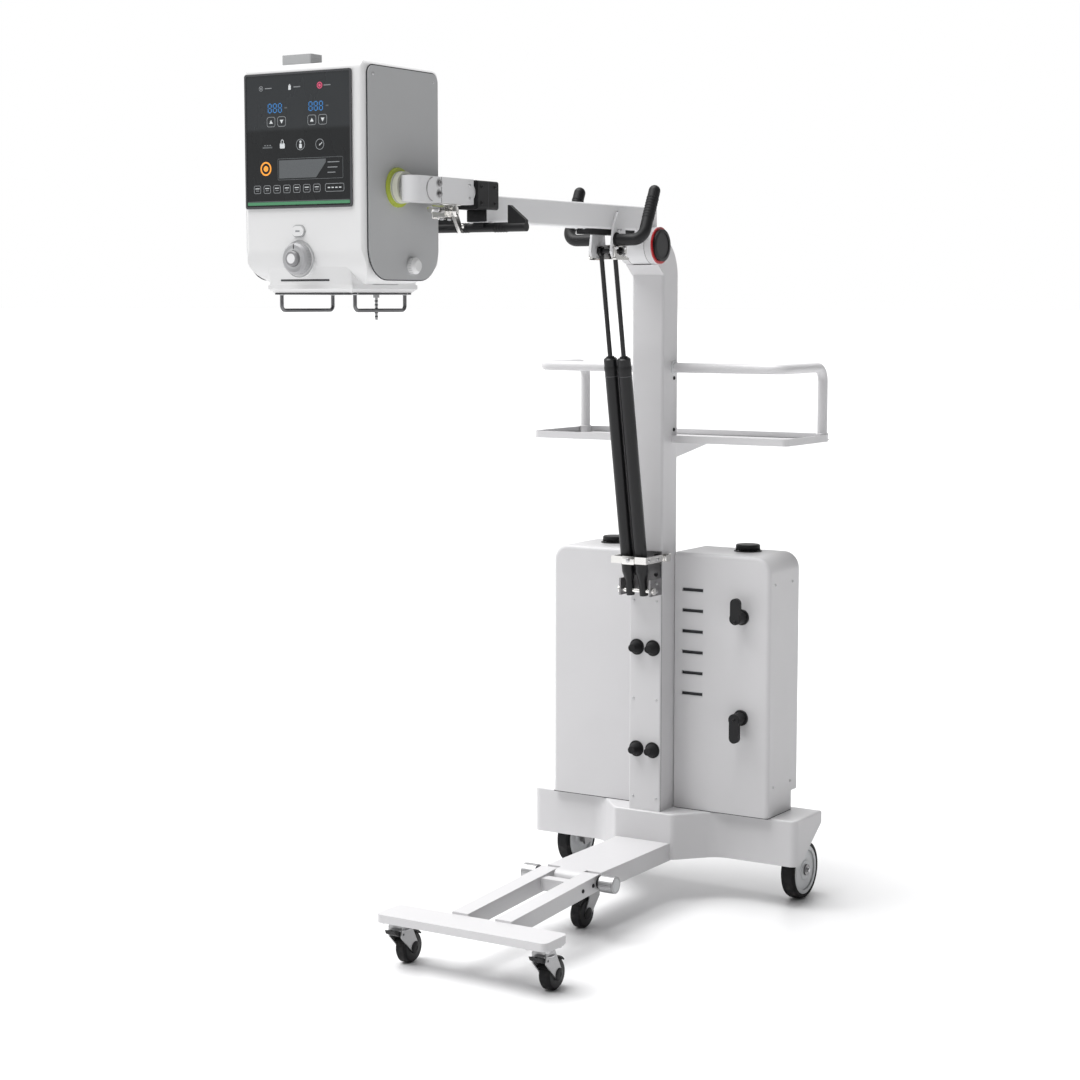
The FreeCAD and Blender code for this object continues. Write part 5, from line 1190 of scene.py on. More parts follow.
@dataclass
class ControlHead:
    """The tilting head: its panel, covers, seals, knobs, screws and collimator."""

    repeats: Repeats
    left: float = -325.0
    right: float = -49.0
    front: float = -958.0
    rear: float = -726.0
    low: float = 1312.0
    top: float = 1702.0
    middle: float = -187.0
    centre: float = -842.0
    knob: Flat = (-198.0, 1358.0)
    key_level: float = 1407.0
    pivot: Flat = (-864.0, 1484.0)
    cover_inset: float = 9.0
    cover_radii: Flat = (16.0, 56.0)
    frame_low: float = 1297.0
    frame_half: Flat = (95.0, 100.0)
    skirt_top: float = 1346.0
    window_half: float = 50.0
    bail_half: Flat = (83.0, 76.5)
    pin_offset: float = 74.1
    body: str = "head"

    def build(self) -> None:
        """Make every piece of the head."""
        self._panel()
        self._marks()
        self._covers()
        self._controls()
        self._hub()
        self._collimator()
        self._top()
        self._rear()

    def _panel(self) -> None:
        """The panel's frame, a dark line round it and the green strip along its foot."""
        face = self.front - 2.5
        outer = round_rect((-316.2, 1447.8), (-76.8, 1687.2), 4.2)
        inner = round_rect((-312.6, 1451.4), (-80.4, 1683.6), 2.4)
        Form().sheet(outer, "XZ", face + 1.4, -2.2, inner).done("panel_frame", Finishes.SEAL, self.body)
        Form().sheet(round_rect((-311.5, 1454.2), (-81.5, 1459.4), 1.2, 3), "XZ", face + 0.05, -0.5).done(
            "panel_strip", Finishes.MARK_GREEN, self.body)
        Form().sheet(round_rect((-311.0, 1459.9), (-82.0, 1461.2), 0.5, 2), "XZ", face + 0.05, -0.4).done(
            "panel_strip_edge", Finishes.MARK_DIM, self.body)

    def _marks(self) -> None:
        """Icons, figures, buttons, the lamp, the display and the keys."""
        marks = Marks()
        grey, white, dim = Finishes.MARK_GREY, Finishes.MARK_WHITE, Finishes.MARK_DIM
        for x, finish in ((-278.0, grey), (-213.0, white), (-146.0, Finishes.MARK_RED)):
            marks.bar(grey, (x + 9.0, 1660.0), (x + 24.0, 1661.6))
            if finish is grey:
                marks.ring(grey, (x, 1661.0), 4.6, 1.1)
                marks.plate(grey, disc((x, 1661.0), 1.8, 12))
            elif finish is white:
                marks.plate(white, round_rect((x - 2.8, 1656.2), (x + 2.8, 1664.2), 1.2, 3))
                marks.bar(white, (x - 1.2, 1664.6), (x + 1.2, 1666.0))
            else:
                marks.ring(finish, (x, 1661.0), 6.0, 1.8)
                marks.plate(finish, disc((x, 1661.0), 2.8, 14))
        for x in (-244.0, -152.0):
            marks.digits(Finishes.MARK_BLUE, (x - 3.0, 1625.5), 3, (9.0, 17.0), 2.6)
            marks.bar(dim, (x + 19.0, 1624.0), (x + 25.0, 1626.4))
            for offset, way in ((-12.0, 1.0), (12.0, -1.0)):
                middle = x + offset
                marks.band(grey, (middle - 9.5, 1592.5), (middle + 9.5, 1610.5), 4.5, 1.0)
                marks.plate(white, [(middle - 4.0, 1601.5 - 3.0 * way), (middle + 4.0, 1601.5 - 3.0 * way),
                                    (middle, 1601.5 + 3.6 * way)][::int(way)])
        marks.bar(dim, (-276.0, 1555.0), (-254.0, 1558.0))
        for step in range(3):
            marks.bar(grey, (-272.0 + 6.0 * step, 1559.5), (-269.0 + 6.0 * step, 1561.0))
        self._pictograms(marks)
        marks.ring(Finishes.MARK_AMBER, (-269.0, 1519.0), 12.5, 3.0)
        marks.plate(Finishes.MARK_AMBER, disc((-269.0, 1519.0), 5.2))
        marks.plate(dim, [(-239.0, 1501.0), (-156.0, 1501.0), (-134.0, 1527.0), (-134.0, 1533.0), (-239.0, 1533.0)])
        marks.band(dim, (-242.0, 1498.0), (-96.0, 1536.0), 2.0, 0.9)
        for level in (1508.0, 1517.0, 1526.0):
            marks.bar(grey, (-130.0, level), (-104.0 - (1526.0 - level) * 0.5, level + 1.5))
        for index in range(7):
            x = -289.0 + index * 22.4
            marks.band(grey, (x - 8.0, 1475.0), (x + 8.0, 1489.5), 3.2, 0.9)
            marks.bar(white, (x - 4.6, 1483.4), (x + 4.6, 1484.8))
            marks.bar(grey, (x - 3.2, 1479.6), (x + 3.2, 1480.8))
        marks.band(grey, (-136.0, 1475.0), (-94.0, 1489.5), 3.2, 0.9)
        for step in range(4):
            marks.bar(white, (-130.0 + 8.2 * step, 1481.2), (-125.0 + 8.2 * step, 1483.2))
        marks.build(self.body)

    @staticmethod
    def _pictograms(marks: Marks) -> None:
        """Three round signs: a closed lock, a standing figure's outline and a dial.

        Args:
            marks: the marks that they join.
        """
        grey, white = Finishes.MARK_GREY, Finishes.MARK_WHITE
        marks.plate(white, round_rect((-236.5, 1554.0), (-225.5, 1563.0), 1.5, 3))
        marks.band(white, (-234.3, 1561.5), (-227.7, 1569.5), 3.0, 1.3)
        marks.ring(grey, (-190.0, 1559.5), 10.0, 1.1)
        marks.plate(white, disc((-190.0, 1564.3), 2.3, 12))
        marks.plate(white, round_rect((-193.0, 1553.0), (-187.0, 1561.0), 1.6, 3))
        marks.ring(grey, (-147.0, 1558.5), 9.6, 1.1)
        marks.plate(white, [(-147.7, 1557.5), (-142.0, 1562.2), (-141.2, 1561.2), (-146.6, 1556.6)])
        marks.plate(white, disc((-147.2, 1557.6), 1.5, 10))

    def _covers(self) -> None:
        """Dark seals round both side covers, and screws in the covers' corners."""
        hole = self._cover_outline(0.4)
        for name, x, depth, wide in (("right", self.right - 3.0, 1.1, 2.0), ("left", self.left + 3.0, -1.1, 0.8)):
            Form().sheet(self._cover_outline(-wide), "YZ", x, depth, hole).done(
                "cover_seal_" + name, Finishes.SEAL, self.body)
        spots = [(self.front + 24.0, self.top - 24.0), (self.rear - 24.0, self.top - 24.0)]
        for name, x, way in (("right", self.right - 0.1, "X"), ("left", self.left + 1.59, "-X")):
            self.repeats.scatter("cover_screws_" + name, self.repeats.screw(), [(x, y, z) for y, z in spots],
                                 way, 2.6, Finishes.STEEL, self.body)

    def _cover_outline(self, grow: float) -> list[Flat]:
        """A side cover's outline, moved inwards by a margin.

        Args:
            grow: the margin, in millimetres.

        Returns:
            The outline's points.
        """
        inset = self.cover_inset + grow
        low, high = (self.front + inset, self.low + inset), (self.rear - inset, self.top - inset)
        upper, lower = self.cover_radii
        points = []
        for x, y, quarter, radius in ((high[0], high[1], 0, upper), (low[0], high[1], 1, upper),
                                      (low[0], low[1], 2, lower), (high[0], low[1], 3, lower)):
            radius = radius - grow
            across = -radius if quarter in (0, 3) else radius
            upwards = -radius if quarter in (0, 1) else radius
            for step in range(11):
                turn = math.pi / 2.0 * (quarter + step / 10.0)
                points.append((x + across + radius * math.cos(turn), y + upwards + radius * math.sin(turn)))
        return points

    def _controls(self) -> None:
        """Ribs, collar and pointer of the collimator's knob, and rings round the key and the knobs."""
        x, z = self.knob
        self.repeats.ring("knob_ribs", 30, 27.6, (1.2, 1.6, 8.0), "Y", (x, self.front - 6.5, z),
                          Finishes.GREY_PLASTIC, "dial")
        Form().lathe([(19.0, 16.05), (14.8, 17.2), (14.8, 15.0), (19.0, 15.0)], "-Y", (x, self.front, z)).done(
            "knob_collar", Finishes.GREY_PLASTIC, "dial")
        Form().slab((x - 0.9, self.front - 16.6, z + 15.6), (x + 0.9, self.front - 15.9, z + 26.0), 0.2).done(
            "knob_pointer", Finishes.SEAL, "dial")
        Form().lathe([(31.5, 0.0), (33.5, 0.0), (33.5, 0.5), (33.0, 1.0), (31.5, 1.0)], "-Y",
                     (x, self.front - 0.05, z), 48).done("knob_ring", Finishes.GREY_PLASTIC, self.body)
        key = self.key_level
        outer = round_rect((x - 15.4, key - 11.2), (x + 15.4, key + 11.2), 11.1, 8)
        inner = round_rect((x - 13.4, key - 9.4), (x + 13.4, key + 9.4), 9.3, 8)
        Form().sheet(outer, "XZ", self.front + 0.1, -0.9, inner).done("key_ring", Finishes.GREY_PLASTIC, self.body)
        Form().sheet(round_rect((x - 5.0, key - 1.4), (x + 5.0, key + 1.4), 1.3, 4), "XZ", self.front - 3.95,
                     -0.3).done("key_mark", Finishes.MARK_GREY, "key")
        y, z = self.centre + 22.0, self.low + 34.0
        self.repeats.ring("side_knob_ribs", 20, 14.7, (0.9, 1.4, 7.0), "X", (self.right + 5.4, y, z),
                          Finishes.CLEAR_CAP, "side_dial")
        Form().lathe([(15.4, 0.0), (17.6, 0.0), (17.6, 0.4), (17.1, 0.9), (15.4, 0.9)], "X",
                     (self.right - 0.05, y, z), 40).done("side_knob_ring", Finishes.GREY_PLASTIC, self.body)

    def _hub(self) -> None:
        """The turned ring with its notches between hub and cover."""
        y, z = self.pivot
        self.repeats.ring("hub_ring_notches", 28, 35.0, (0.8, 2.0, 3.2), "X", (self.right + 2.5, y, z),
                          Finishes.LIME, self.body)
        Form().lathe([(28.0, 7.0), (28.8, 7.4), (28.8, 9.0), (28.0, 9.4)], "X", (self.right, y, z), 48).done(
            "hub_band", Finishes.GREY_PLASTIC, self.body)

    def _collimator(self) -> None:
        """Skirt, screws, window frame, bail feet and the pin's rings."""
        self._skirt()
        low = self.frame_low
        spots = [(self.middle + a, self.centre + b, low + 0.1) for a in (-70.0, 70.0) for b in (-88.0, 88.0)]
        self.repeats.scatter("collimator_screws", self.repeats.screw(), spots, "-Z", 3.0, Finishes.STEEL,
                             self.body)
        half = self.window_half
        outer = round_rect((self.middle - half - 4, self.centre - half - 4),
                           (self.middle + half + 4, self.centre + half + 4), 5.0)
        inner = round_rect((self.middle - half + 2, self.centre - half + 2),
                           (self.middle + half - 2, self.centre + half - 2), 2.0)
        Form().sheet(outer, "XY", low + 0.2, -1.0, inner).done("window_frame", Finishes.SEAL, self.body)
        for name, low_corner, high_corner in (
                ("cross_x", (self.middle - 46.0, self.centre - 0.25), (self.middle + 46.0, self.centre + 0.25)),
                ("cross_y", (self.middle - 0.25, self.centre - 46.0), (self.middle + 0.25, self.centre + 46.0))):
            Form().slab((*low_corner, 1305.6), (*high_corner, 1305.9), 0.05, 1).done("window_" + name,
                                                                                  Finishes.SEAL, self.body)
        feet = Form()
        for side in (-self.bail_half[0], self.bail_half[0]):
            for end in (-self.bail_half[1], self.bail_half[1]):
                feet.lathe([(3.3, 0.0), (6.2, 0.0), (6.2, 2.0), (5.0, 3.4), (3.3, 3.4)], "-Z",
                           (self.middle + side, self.centre + end, low), 20)
        feet.done("bail_feet", Finishes.STEEL, self.body)
        x = self.middle + self.pin_offset
        rings = Form()
        for level in (1255.0, 1262.0, 1269.0, 1276.0, 1283.0):
            rings.lathe([(2.4, -1.5), (3.0, -1.1), (3.0, 1.1), (2.4, 1.5)], "Z", (x, self.centre, level), 14)
        rings.done("pin_rings", Finishes.SEAL, self.body)

    def _skirt(self) -> None:
        """The skirt between the shell's curve and the collimator's frame, with a dark slot, and a dark band below the
        frame that is painted shade.
        """
        half, reach = self.frame_half
        front = self.centre - reach
        corner = ((half, 8.0), (half - 2.5, 2.2), (half - 8.0, 0.0))
        across = [(-x, inset) for x, inset in corner] + list(reversed(corner))
        rise = ((self.low - 0.05, 0.0), (self.low + 10.0, 1.2), (self.low + 20.0, 3.0), (self.low + 28.0, 5.2),
                (self.skirt_top, 7.6))
        skirt = Form()
        for edge, way in ((front, 1.0), (self.centre + reach, -1.0)):
            rear = edge + way * 60.0
            skirt.loops([[(self.middle + x, edge + way * (inset - lean), z) for z, lean in rise]
                         + [(self.middle + x, rear, self.skirt_top), (self.middle + x, rear, self.low - 0.05)]
                         for x, inset in across])
        skirt.done("collimator_skirt", Finishes.WHITE_PLASTIC, self.body)
        Form().sheet(round_rect((-252.0, 1318.2), (-142.0, 1321.8), 1.2, 3), "XZ", front - 0.4, -1.0).done(
            "front_slot", Finishes.SEAL, self.body)
        # A dark band under the frame's edge: painted shade beneath the frame.
        outer = round_rect((-276.0, self.centre - 94.0), (-98.0, self.centre + 94.0), 8.0)
        inner = round_rect((self.middle - 52.0, self.centre - 52.0), (self.middle + 52.0, self.centre + 52.0), 4.0)
        Form().sheet(outer, "XY", 1297.1, -2.6, inner).done("collimator_gasket", Finishes.SEAL, self.body)

    def _top(self) -> None:
        """The cable gland on the socket block and two small caps."""
        x, y, z = self.left + 66.0 + 33.0, self.front + 34.0 + 17.0, self.top
        Form().slab((x - 33.0, y - 17.0, z), (x + 33.0, y + 17.0, z + 3.0), 1.2).done(
            "socket_foot", Finishes.WHITE_PLASTIC, self.body)
        Form().lathe([(9.5, 17.0), (14.0, 17.0), (14.0, 18.2), (12.5, 19.8), (7.0, 19.9), (6.5, 18.0), (0.0, 18.0)],
                     "Z", (x, y, z)).done("socket_gland", Finishes.HUB_GREY, self.body)
        caps = Form()
        for place in (-168.0, -140.0):
            caps.lathe([(0.0, 0.0), (5.2, 0.0), (5.2, 4.0), (4.2, 5.2), (0.0, 5.6)], "Z",
                       (place, self.front + 52.0, z - 0.1), 20)
        caps.done("top_caps", Finishes.HUB_GREY, self.body)

    def _rear(self) -> None:
        """Rear slots for air and the screws of the shell."""
        bar = self.repeats.slat("rear_slot", (92.0, 1.2, 3.4), 0.5)
        self.repeats.row("head_rear_slots", bar, 7, (self.middle, self.rear - 0.2, self.low + 120.0),
                         (0.0, 0.0, 9.0), Finishes.SEAL, self.body)
        spots = [(self.middle + a, self.rear - 0.2, z) for a in (-118.0, 118.0)
                 for z in (self.low + 90.0, self.top - 30.0)]
        self.repeats.scatter("head_rear_screws", self.repeats.screw(), spots, "Y", 3.2, Finishes.STEEL, self.body)


@dataclass
class BalancedArm:
    """The arm with its handles, the black block, the front tube and the lock."""

    repeats: Repeats
    pivot_y: float = -53.0
    pivot_z: float = 1398.0
    ear: float = 27.0
    joint: Flat = (147.0, 14.0)
    grip: Point = (88.0, 159.0, 8.0)
    block: Flat = (-717.0, -649.0)
    tube_half: float = 20.0
    bearing_y: float = -832.0
    bearing_levels: Flat = (1491.0, 1472.0)
    lock: Flat = (-783.3, 1444.0)

    def build(self) -> None:
        """Make every piece of the arm."""
        self._beam()
        self._joint_plates()
        self._handles()
        self._block()
        self._nose()
        self._lock()

    def _beam(self) -> None:
        """The caps in the beam's ends, the barrel's seams and the screws below."""
        rear = self.pivot_y + 18.0
        Form().slab((-20.5, rear - 1.0, 1429.0), (20.5, rear + 2.4, 1475.0), 1.2).done(
            "beam_cap", Finishes.HUB_GREY, "arm")
        seams = Form()
        for x in (-21.9, 21.9):
            seams.lathe([(37.2, -0.1), (38.15, -0.1), (38.15, 0.1), (37.2, 0.1)], "X",
                        (x, self.pivot_y, self.pivot_z), 64)
        seams.done("barrel_seams", Finishes.SEAL, "arm")
        Form().slab((-21.2, -683.4, 1428.0), (21.2, -679.0, 1449.8), 1.4).done(
            "beam_front_cap", Finishes.BLACK_PLASTIC, "arm")
        spots = [(x, -250.0 - 60.0 * step, 1427.1) for x in (-9.0, 9.0) for step in (0, 1)]
        self.repeats.scatter("beam_screws", self.repeats.screw(), spots, "-Z", 2.8, Finishes.STEEL, "arm")

    def _joint_plates(self) -> None:
        """Chromed plates, lips, flanges and bolts on the ears at the gas springs' upper joint."""
        y, z = self.pivot_y - self.joint[0], self.pivot_z - self.joint[1]
        for side, name in SIDES:
            x = side * self.ear
            outline = round_rect((y - 23.0, z - 14.5), (y + 23.0, z + 13.0), 4.0)
            Form().sheet(outline, "YZ", x, side * 2.6).done("joint_plate_" + name, Finishes.CHROME, "arm")
            Form().sheet(round_rect((y - 27.0, z - 18.0), (y + 27.0, z - 13.0), 2.0, 4), "YZ",
                         x, side * 7.5).done("joint_lip_" + name, Finishes.CHROME, "arm")
            way = outward(side)
            self.repeats.scatter("joint_bolts_" + name, self.repeats.bolt(),
                                 [(x + side * 2.6, y - 16.0, z + 7.0), (x + side * 2.6, y + 16.0, z + 7.0),
                                  (x + side * 2.6, y + 14.0, z - 7.0)], way, 4.6, Finishes.STEEL, "arm")
            self.repeats.scatter("joint_nut_" + name, self.repeats.bolt(), [(x + side * 2.6, y, z)], way, 8.5,
                                 Finishes.BLACK_COAT, "arm")
            self.repeats.scatter("ear_screws_" + name, self.repeats.screw(),
                                 [(side * 26.9, y - 6.0, z + 42.0), (side * 26.9, y + 6.0, z + 42.0)], way, 3.0,
                                 Finishes.STEEL, "arm")
        for low, high, edge, way, bolts, size, name in (
                (-29.6, -22.2, y - 23.0, -1.0, (-25.9,), 2.8, "front_left"),
                (22.2, 29.6, y - 23.0, -1.0, (25.9,), 2.8, "front_right"),
                (-29.6, 29.6, y + 23.0, 1.0, (-21.0, 0.0, 21.0), 4.4, "rear")):
            Form().sheet(round_rect((low, z - 16.0), (high, z + 13.0), 2.0, 4), "XZ", edge, way * 2.6).done(
                "joint_frame_" + name, Finishes.CHROME, "arm")
            self.repeats.scatter("joint_frame_bolts_" + name, self.repeats.bolt(),
                                 [(a, edge + way * 2.6, z + 6.5) for a in bolts],
                                 "-Y" if way < 0 else "Y", size, Finishes.DARK_STEEL, "arm")

    def _handles(self) -> None:
        """Rubber bands on the grips and the front handle, and the grips' collars."""
        band = self.repeats.band("grip_band", 11.9, 12.7, 3.0)
        x, y, z = self.grip[0], self.pivot_y - self.grip[1], self.pivot_z + self.grip[2]
        lean = math.atan2(47.0, 98.0)
        way = Vector((0.0, math.sin(lean), math.cos(lean)))
        for side, name in SIDES:
            start = Vector((side * x, y, z)) + way * 48.0
            self.repeats.row("grip_bands_" + name, band, 8, tuple(start), tuple(way * 6.2),
                             Finishes.BLACK_RUBBER, "arm", (-lean, 0.0, 0.0))
            self.repeats.row("handle_bands_" + name, self.repeats.band("handle_band", 8.4, 9.3, 3.0), 5,
                             (side * 30.0, -664.0, 1418.0), (side * 6.0, 0.0, 0.0), Finishes.BLACK_RUBBER, "arm",
                             (0.0, math.pi / 2.0, 0.0))
            Form().lathe([(12.9, 0.0), (15.0, 0.0), (15.0, 2.0), (13.6, 3.2), (11.9, 3.2)],
                         outward(side), (side * self.ear, y, z), 32).done(
                "grip_collar_" + name, Finishes.BLACK_RUBBER, "arm")

    def _block(self) -> None:
        """The black block's parting line and side screws."""
        front, rear = self.block
        line = round_rect((-27.15, 1450.0 - 0.15), (27.15, 1502.15), 5.1)
        hole = round_rect((-26.6, 1450.4), (26.6, 1501.6), 4.6)
        Form().sheet(line, "XZ", (front + rear) / 2.0 + 0.5, -1.0, hole).done("block_line", Finishes.SEAL, "arm")
        for side, name in SIDES:
            spots = [(side * self.ear, y, z) for y in (front + 12.0, rear - 12.0) for z in (1461.0, 1491.0)]
            self.repeats.scatter("block_screws_" + name, self.repeats.screw(), spots, outward(side), 3.0,
                                 Finishes.BLACK_COAT, "arm")

    def _nose(self) -> None:
        """The bearing's edge as a dark half ring that is partly painted shade, washers and bolts on the front tube,
        its side screws and its parting line.
        """
        half = self.tube_half
        # A dark half ring along the front of the bearing's recess: the recess's rim, its darkness painted shade of the
        # recess.
        edge_shade_arc = [(half + 0.2, -850.0 - 21.0 * math.sin(turn), 1480.0 + 21.0 * math.cos(turn))
               for turn in (math.pi * (0.06 + 0.88 * step / 24.0) for step in range(25))]
        Form().tube(edge_shade_arc, 1.1, sides=8).done("bearing_edge", Finishes.DARK_STEEL, "nose")
        spots = [(half, self.bearing_y, level) for level in self.bearing_levels]
        for spot, label in zip(spots, ("upper", "lower")):
            Form().lathe([(5.0, 0.0), (8.6, 0.0), (8.6, 0.5), (5.0, 0.7)], "X", spot, 24).done(
                "bearing_washer_" + label, Finishes.STEEL, "nose")
        self.repeats.scatter("bearing_bolts", self.repeats.bolt(), spots, "X", 6.2, Finishes.DARK_STEEL, "nose")
        for side, name in SIDES:
            self.repeats.scatter("nose_screws_" + name, self.repeats.screw(),
                                 [(side * half, -735.0, z) for z in (1492.0, 1468.0)], outward(side), 2.8,
                                 Finishes.STEEL, "nose")
        line = round_rect((-20.2, 1456.8), (20.2, 1503.2), 0.8, 2)
        hole = round_rect((-19.6, 1457.4), (19.6, 1502.6), 0.4, 2)
        Form().sheet(line, "XZ", -824.0, -1.2, hole).done("nose_line", Finishes.SEAL, "nose")

    def _lock(self) -> None:
        """The roll lock: plates, a spring on its rod, bolts, and the lever's cap and ball."""
        y, z = self.lock
        Form().slab((-16.0, y - 26.0, z + 10.0), (16.0, y + 26.0, z + 13.2), 1.0).done(
            "lock_plate", Finishes.CHROME, "nose")
        Form().slab((-15.6, y - 22.0, z - 13.6), (-13.1, y + 22.0, z + 11.0), 0.8).done(
            "lock_cheek", Finishes.CHROME, "nose")
        coil = []
        for step in range(121):
            turn = 2.0 * math.pi * step / 20.0
            coil.append((4.5 * math.cos(turn), y - 24.0 - 0.16 * step, z + 2.0 + 4.5 * math.sin(turn)))
        Form().tube(coil, 0.9, sides=6).done("lock_spring", Finishes.STEEL, "nose")
        Form().lathe([(0.0, 0.0), (2.6, 0.0), (2.6, 26.0), (6.0, 26.5), (6.0, 30.0), (0.0, 30.5)], "-Y",
                     (0.0, y - 20.0, z + 2.0), 18).done("lock_rod", Finishes.CHROME, "nose")
        self.repeats.scatter("lock_bolts", self.repeats.bolt(), [(0.0, y + 12.0, z - 13.0), (0.0, y - 12.0, z - 13.0)],
                             "-Z", 4.4, Finishes.STEEL, "nose")
        Form().lathe([(9.3, 0.0), (10.4, 0.6), (10.4, 2.0), (8.6, 3.0), (0.0, 3.4)], "X",
                     (16.0 + 4.2, y, z), 28).done("lever_cap", Finishes.CHROME, "lever")
        tip = (17.0, y + 26.0, z - 26.5)
        Form().lathe([(0.0, -5.0), (3.4, -4.0), (5.0, -1.2), (5.0, 1.2), (3.4, 4.0), (0.0, 5.0)], "X", tip,
                     20).done("lever_ball", Finishes.CHROME, "lever")


@dataclass
class GasSprings:
    """Collars on the two gas springs and the fittings of their lower joint."""

    repeats: Repeats
    lower_y: float = -73.0
    lower_z: float = 675.0
    upper_y: float = -200.0
    upper_z: float = 1384.0
    apart: float = 16.0
    bracket_face: float = -37.0

    def build(self) -> None:
        """Make the collars, seals, bracket screws and strap rivets."""
        way = Vector((0.0, self.upper_y - self.lower_y, self.upper_z - self.lower_z)).normalized()
        lean = math.atan2(-way.y, way.z)
        self._collars(way, lean)
        self._bracket()

    def _collars(self, way: Vector, lean: float) -> None:
        """Bands on the cylinders and seals at their tops.

        Args:
            way: the springs' direction.
            lean: their lean, in radians.
        """
        for side, name in SIDES:
            for label, along, inner, outer, width, finish in (
                    ("collar", 478.0, 13.8, 14.6, 10.0, Finishes.BLACK_PLASTIC),
                    ("crimp", 462.0, 13.8, 14.3, 2.0, Finishes.SEAL),
                    ("seal", 501.0, 5.0, 8.4, 3.0, Finishes.BLACK_RUBBER)):
                start = Vector((side * self.apart, self.lower_y, self.lower_z)) + way * along
                self.repeats.row("spring_%s_%s" % (label, name),
                                 self.repeats.band("spring_" + label, inner, outer, width), 1, tuple(start),
                                 (0.0, 0.0, 1.0), finish, "springs", (lean, 0.0, 0.0))

    def _bracket(self) -> None:
        """Screws and a slot on the steel bracket, and the strap's rivets and tail."""
        face = self.bracket_face
        self.repeats.scatter("bracket_screws", self.repeats.screw(),
                             [(x, face, z) for x in (-26.0, 26.0) for z in (748.0, 706.0)], "-Y", 4.4,
                             Finishes.BLACK_COAT, "stand")
        for side, way in ((38.0, "X"), (-38.0, "-X")):
            name = hand(side)
            self.repeats.scatter("cheek_bolts_" + name, self.repeats.bolt(),
                                 [(side, -56.0, 690.0), (side, -56.0, 672.0)], way, 3.4, Finishes.STEEL, "stand")
            self.repeats.scatter("strap_rivets_" + name, self.repeats.screw(),
                                 [(side * 42.0 / 38.0, y, 742.5) for y in (-96.0, -60.0, -28.0)], way, 3.2,
                                 Finishes.STEEL, "stand")
        Form().sheet(round_rect((35.6, 702.0), (38.0, 729.0), 0.9, 3), "XZ", face + 0.1, -0.8).done(
            "bracket_slot", Finishes.SEAL, "stand")
        Form().slab((42.0, -30.0, 734.0), (46.5, -10.0, 751.0), 0.8).done("strap_tail", Finishes.CHROME, "stand")
        Form().slab((-14.0, -112.5, 733.5), (14.0, -110.0, 751.5), 0.8).done("strap_joint", Finishes.CHROME, "stand")
        self.repeats.scatter("strap_bolt", self.repeats.bolt(), [(0.0, -112.3, 742.5)], "-Y", 5.0, Finishes.STEEL,
                             "stand")


@dataclass
class ColumnAndTray:
    """Fittings of the column, its cover, the tray and the rails."""

    repeats: Repeats
    half: float = 38.0
    cover_face: float = -37.0
    rail_y: float = 15.0
    pivot: Flat = (-53.0, 1398.0)
    body: str = "stand"

    def build(self) -> None:
        """Make the pieces that sit on the column and the tray."""
        self._rails()
        self._cover()
        self._tray()
        self._knuckles()

    def _rails(self) -> None:
        """Flanges and screws where the rails meet the column, and collars at their posts."""
        repeats = self.repeats
        for side, name in SIDES:
            way, x = outward(side), side * self.half
            Form().lathe([(10.7, 0.0), (15.0, 0.0), (15.0, 2.4), (13.6, 3.6), (10.7, 3.6)], way,
                         (x, self.rail_y, 1143.0), 36).done("rail_flange_" + name, Finishes.HUB_GREY, self.body)
            repeats.scatter("rail_screws_" + name, repeats.screw(),
                            [(x, self.rail_y, z) for z in (1121.0, 1012.0)], way, 4.0, Finishes.BLACK_COAT,
                            self.body)
            Form().lathe([(10.6, 0.0), (13.0, 0.0), (13.0, 1.6), (12.0, 2.8), (10.6, 2.8)], "Z",
                         (side * 294.0, 207.0, 1000.0), 32).done("post_collar_" + name, Finishes.WHITE_PAINT,
                                                                 self.body)

    def _cover(self) -> None:
        """Screws, buffer rings and side seams of the column's cover."""
        self.repeats.scatter("cover_screws", self.repeats.screw(),
                             [(x, self.cover_face, z) for x in (-28.0, 28.0) for z in (648.0, 436.0, 222.0)],
                             "-Y", 3.0, Finishes.STEEL, self.body)
        buffers = Form()
        for x in (-19.5, 19.5):
            for z in (548.0, 327.0):
                buffers.lathe([(15.1, 0.0), (17.4, 0.0), (17.4, 1.4), (16.4, 2.6), (14.6, 2.6)], "-Y",
                              (x, self.cover_face, z), 32)
        buffers.done("buffer_rings", Finishes.BLACK_PLASTIC, self.body)
        seam = Form()
        for sign in (-1.0, 1.0):
            seam.sheet([(-33.4, 196.0), (-32.6, 196.0), (-32.6, 662.0), (-33.4, 662.0)], "YZ",
                       sign * (self.half - 0.1), 0.35 * sign)
        seam.done("cover_seams", Finishes.SEAL, self.body)

    def _tray(self) -> None:
        """The line inside the tray's rim and the screws below."""
        Form().sheet(round_rect((-303.0, 9.0), (303.0, 236.0), 14.0), "XY", 988.0, 0.7,
                     round_rect((-299.0, 13.0), (299.0, 232.0), 12.0)).done("tray_line", Finishes.SEAL, self.body)
        self.repeats.scatter("tray_screws", self.repeats.screw(),
                             [(x, y, 985.1) for x in (-120.0, 120.0) for y in (70.0, 180.0)], "-Z", 3.6,
                             Finishes.STEEL, self.body)

    def _knuckles(self) -> None:
        """Lines on the arm's knuckles and the rim of the pivot's cap."""
        edge = Form()
        for x in (-22.4, 22.4):
            edge.lathe([(36.8, -0.2), (38.2, -0.2), (38.2, 0.2), (36.8, 0.2)], "X", (x, *self.pivot), 64)
        edge.done("knuckle_lines", Finishes.SEAL, self.body)
        Form().lathe([(26.0, 0.0), (33.4, 0.0), (33.4, 0.7), (32.6, 1.3), (26.0, 1.3)], "X",
                     (46.0, *self.pivot), 48).done("pivot_cap_rim", Finishes.BLACK_PLASTIC, self.body)


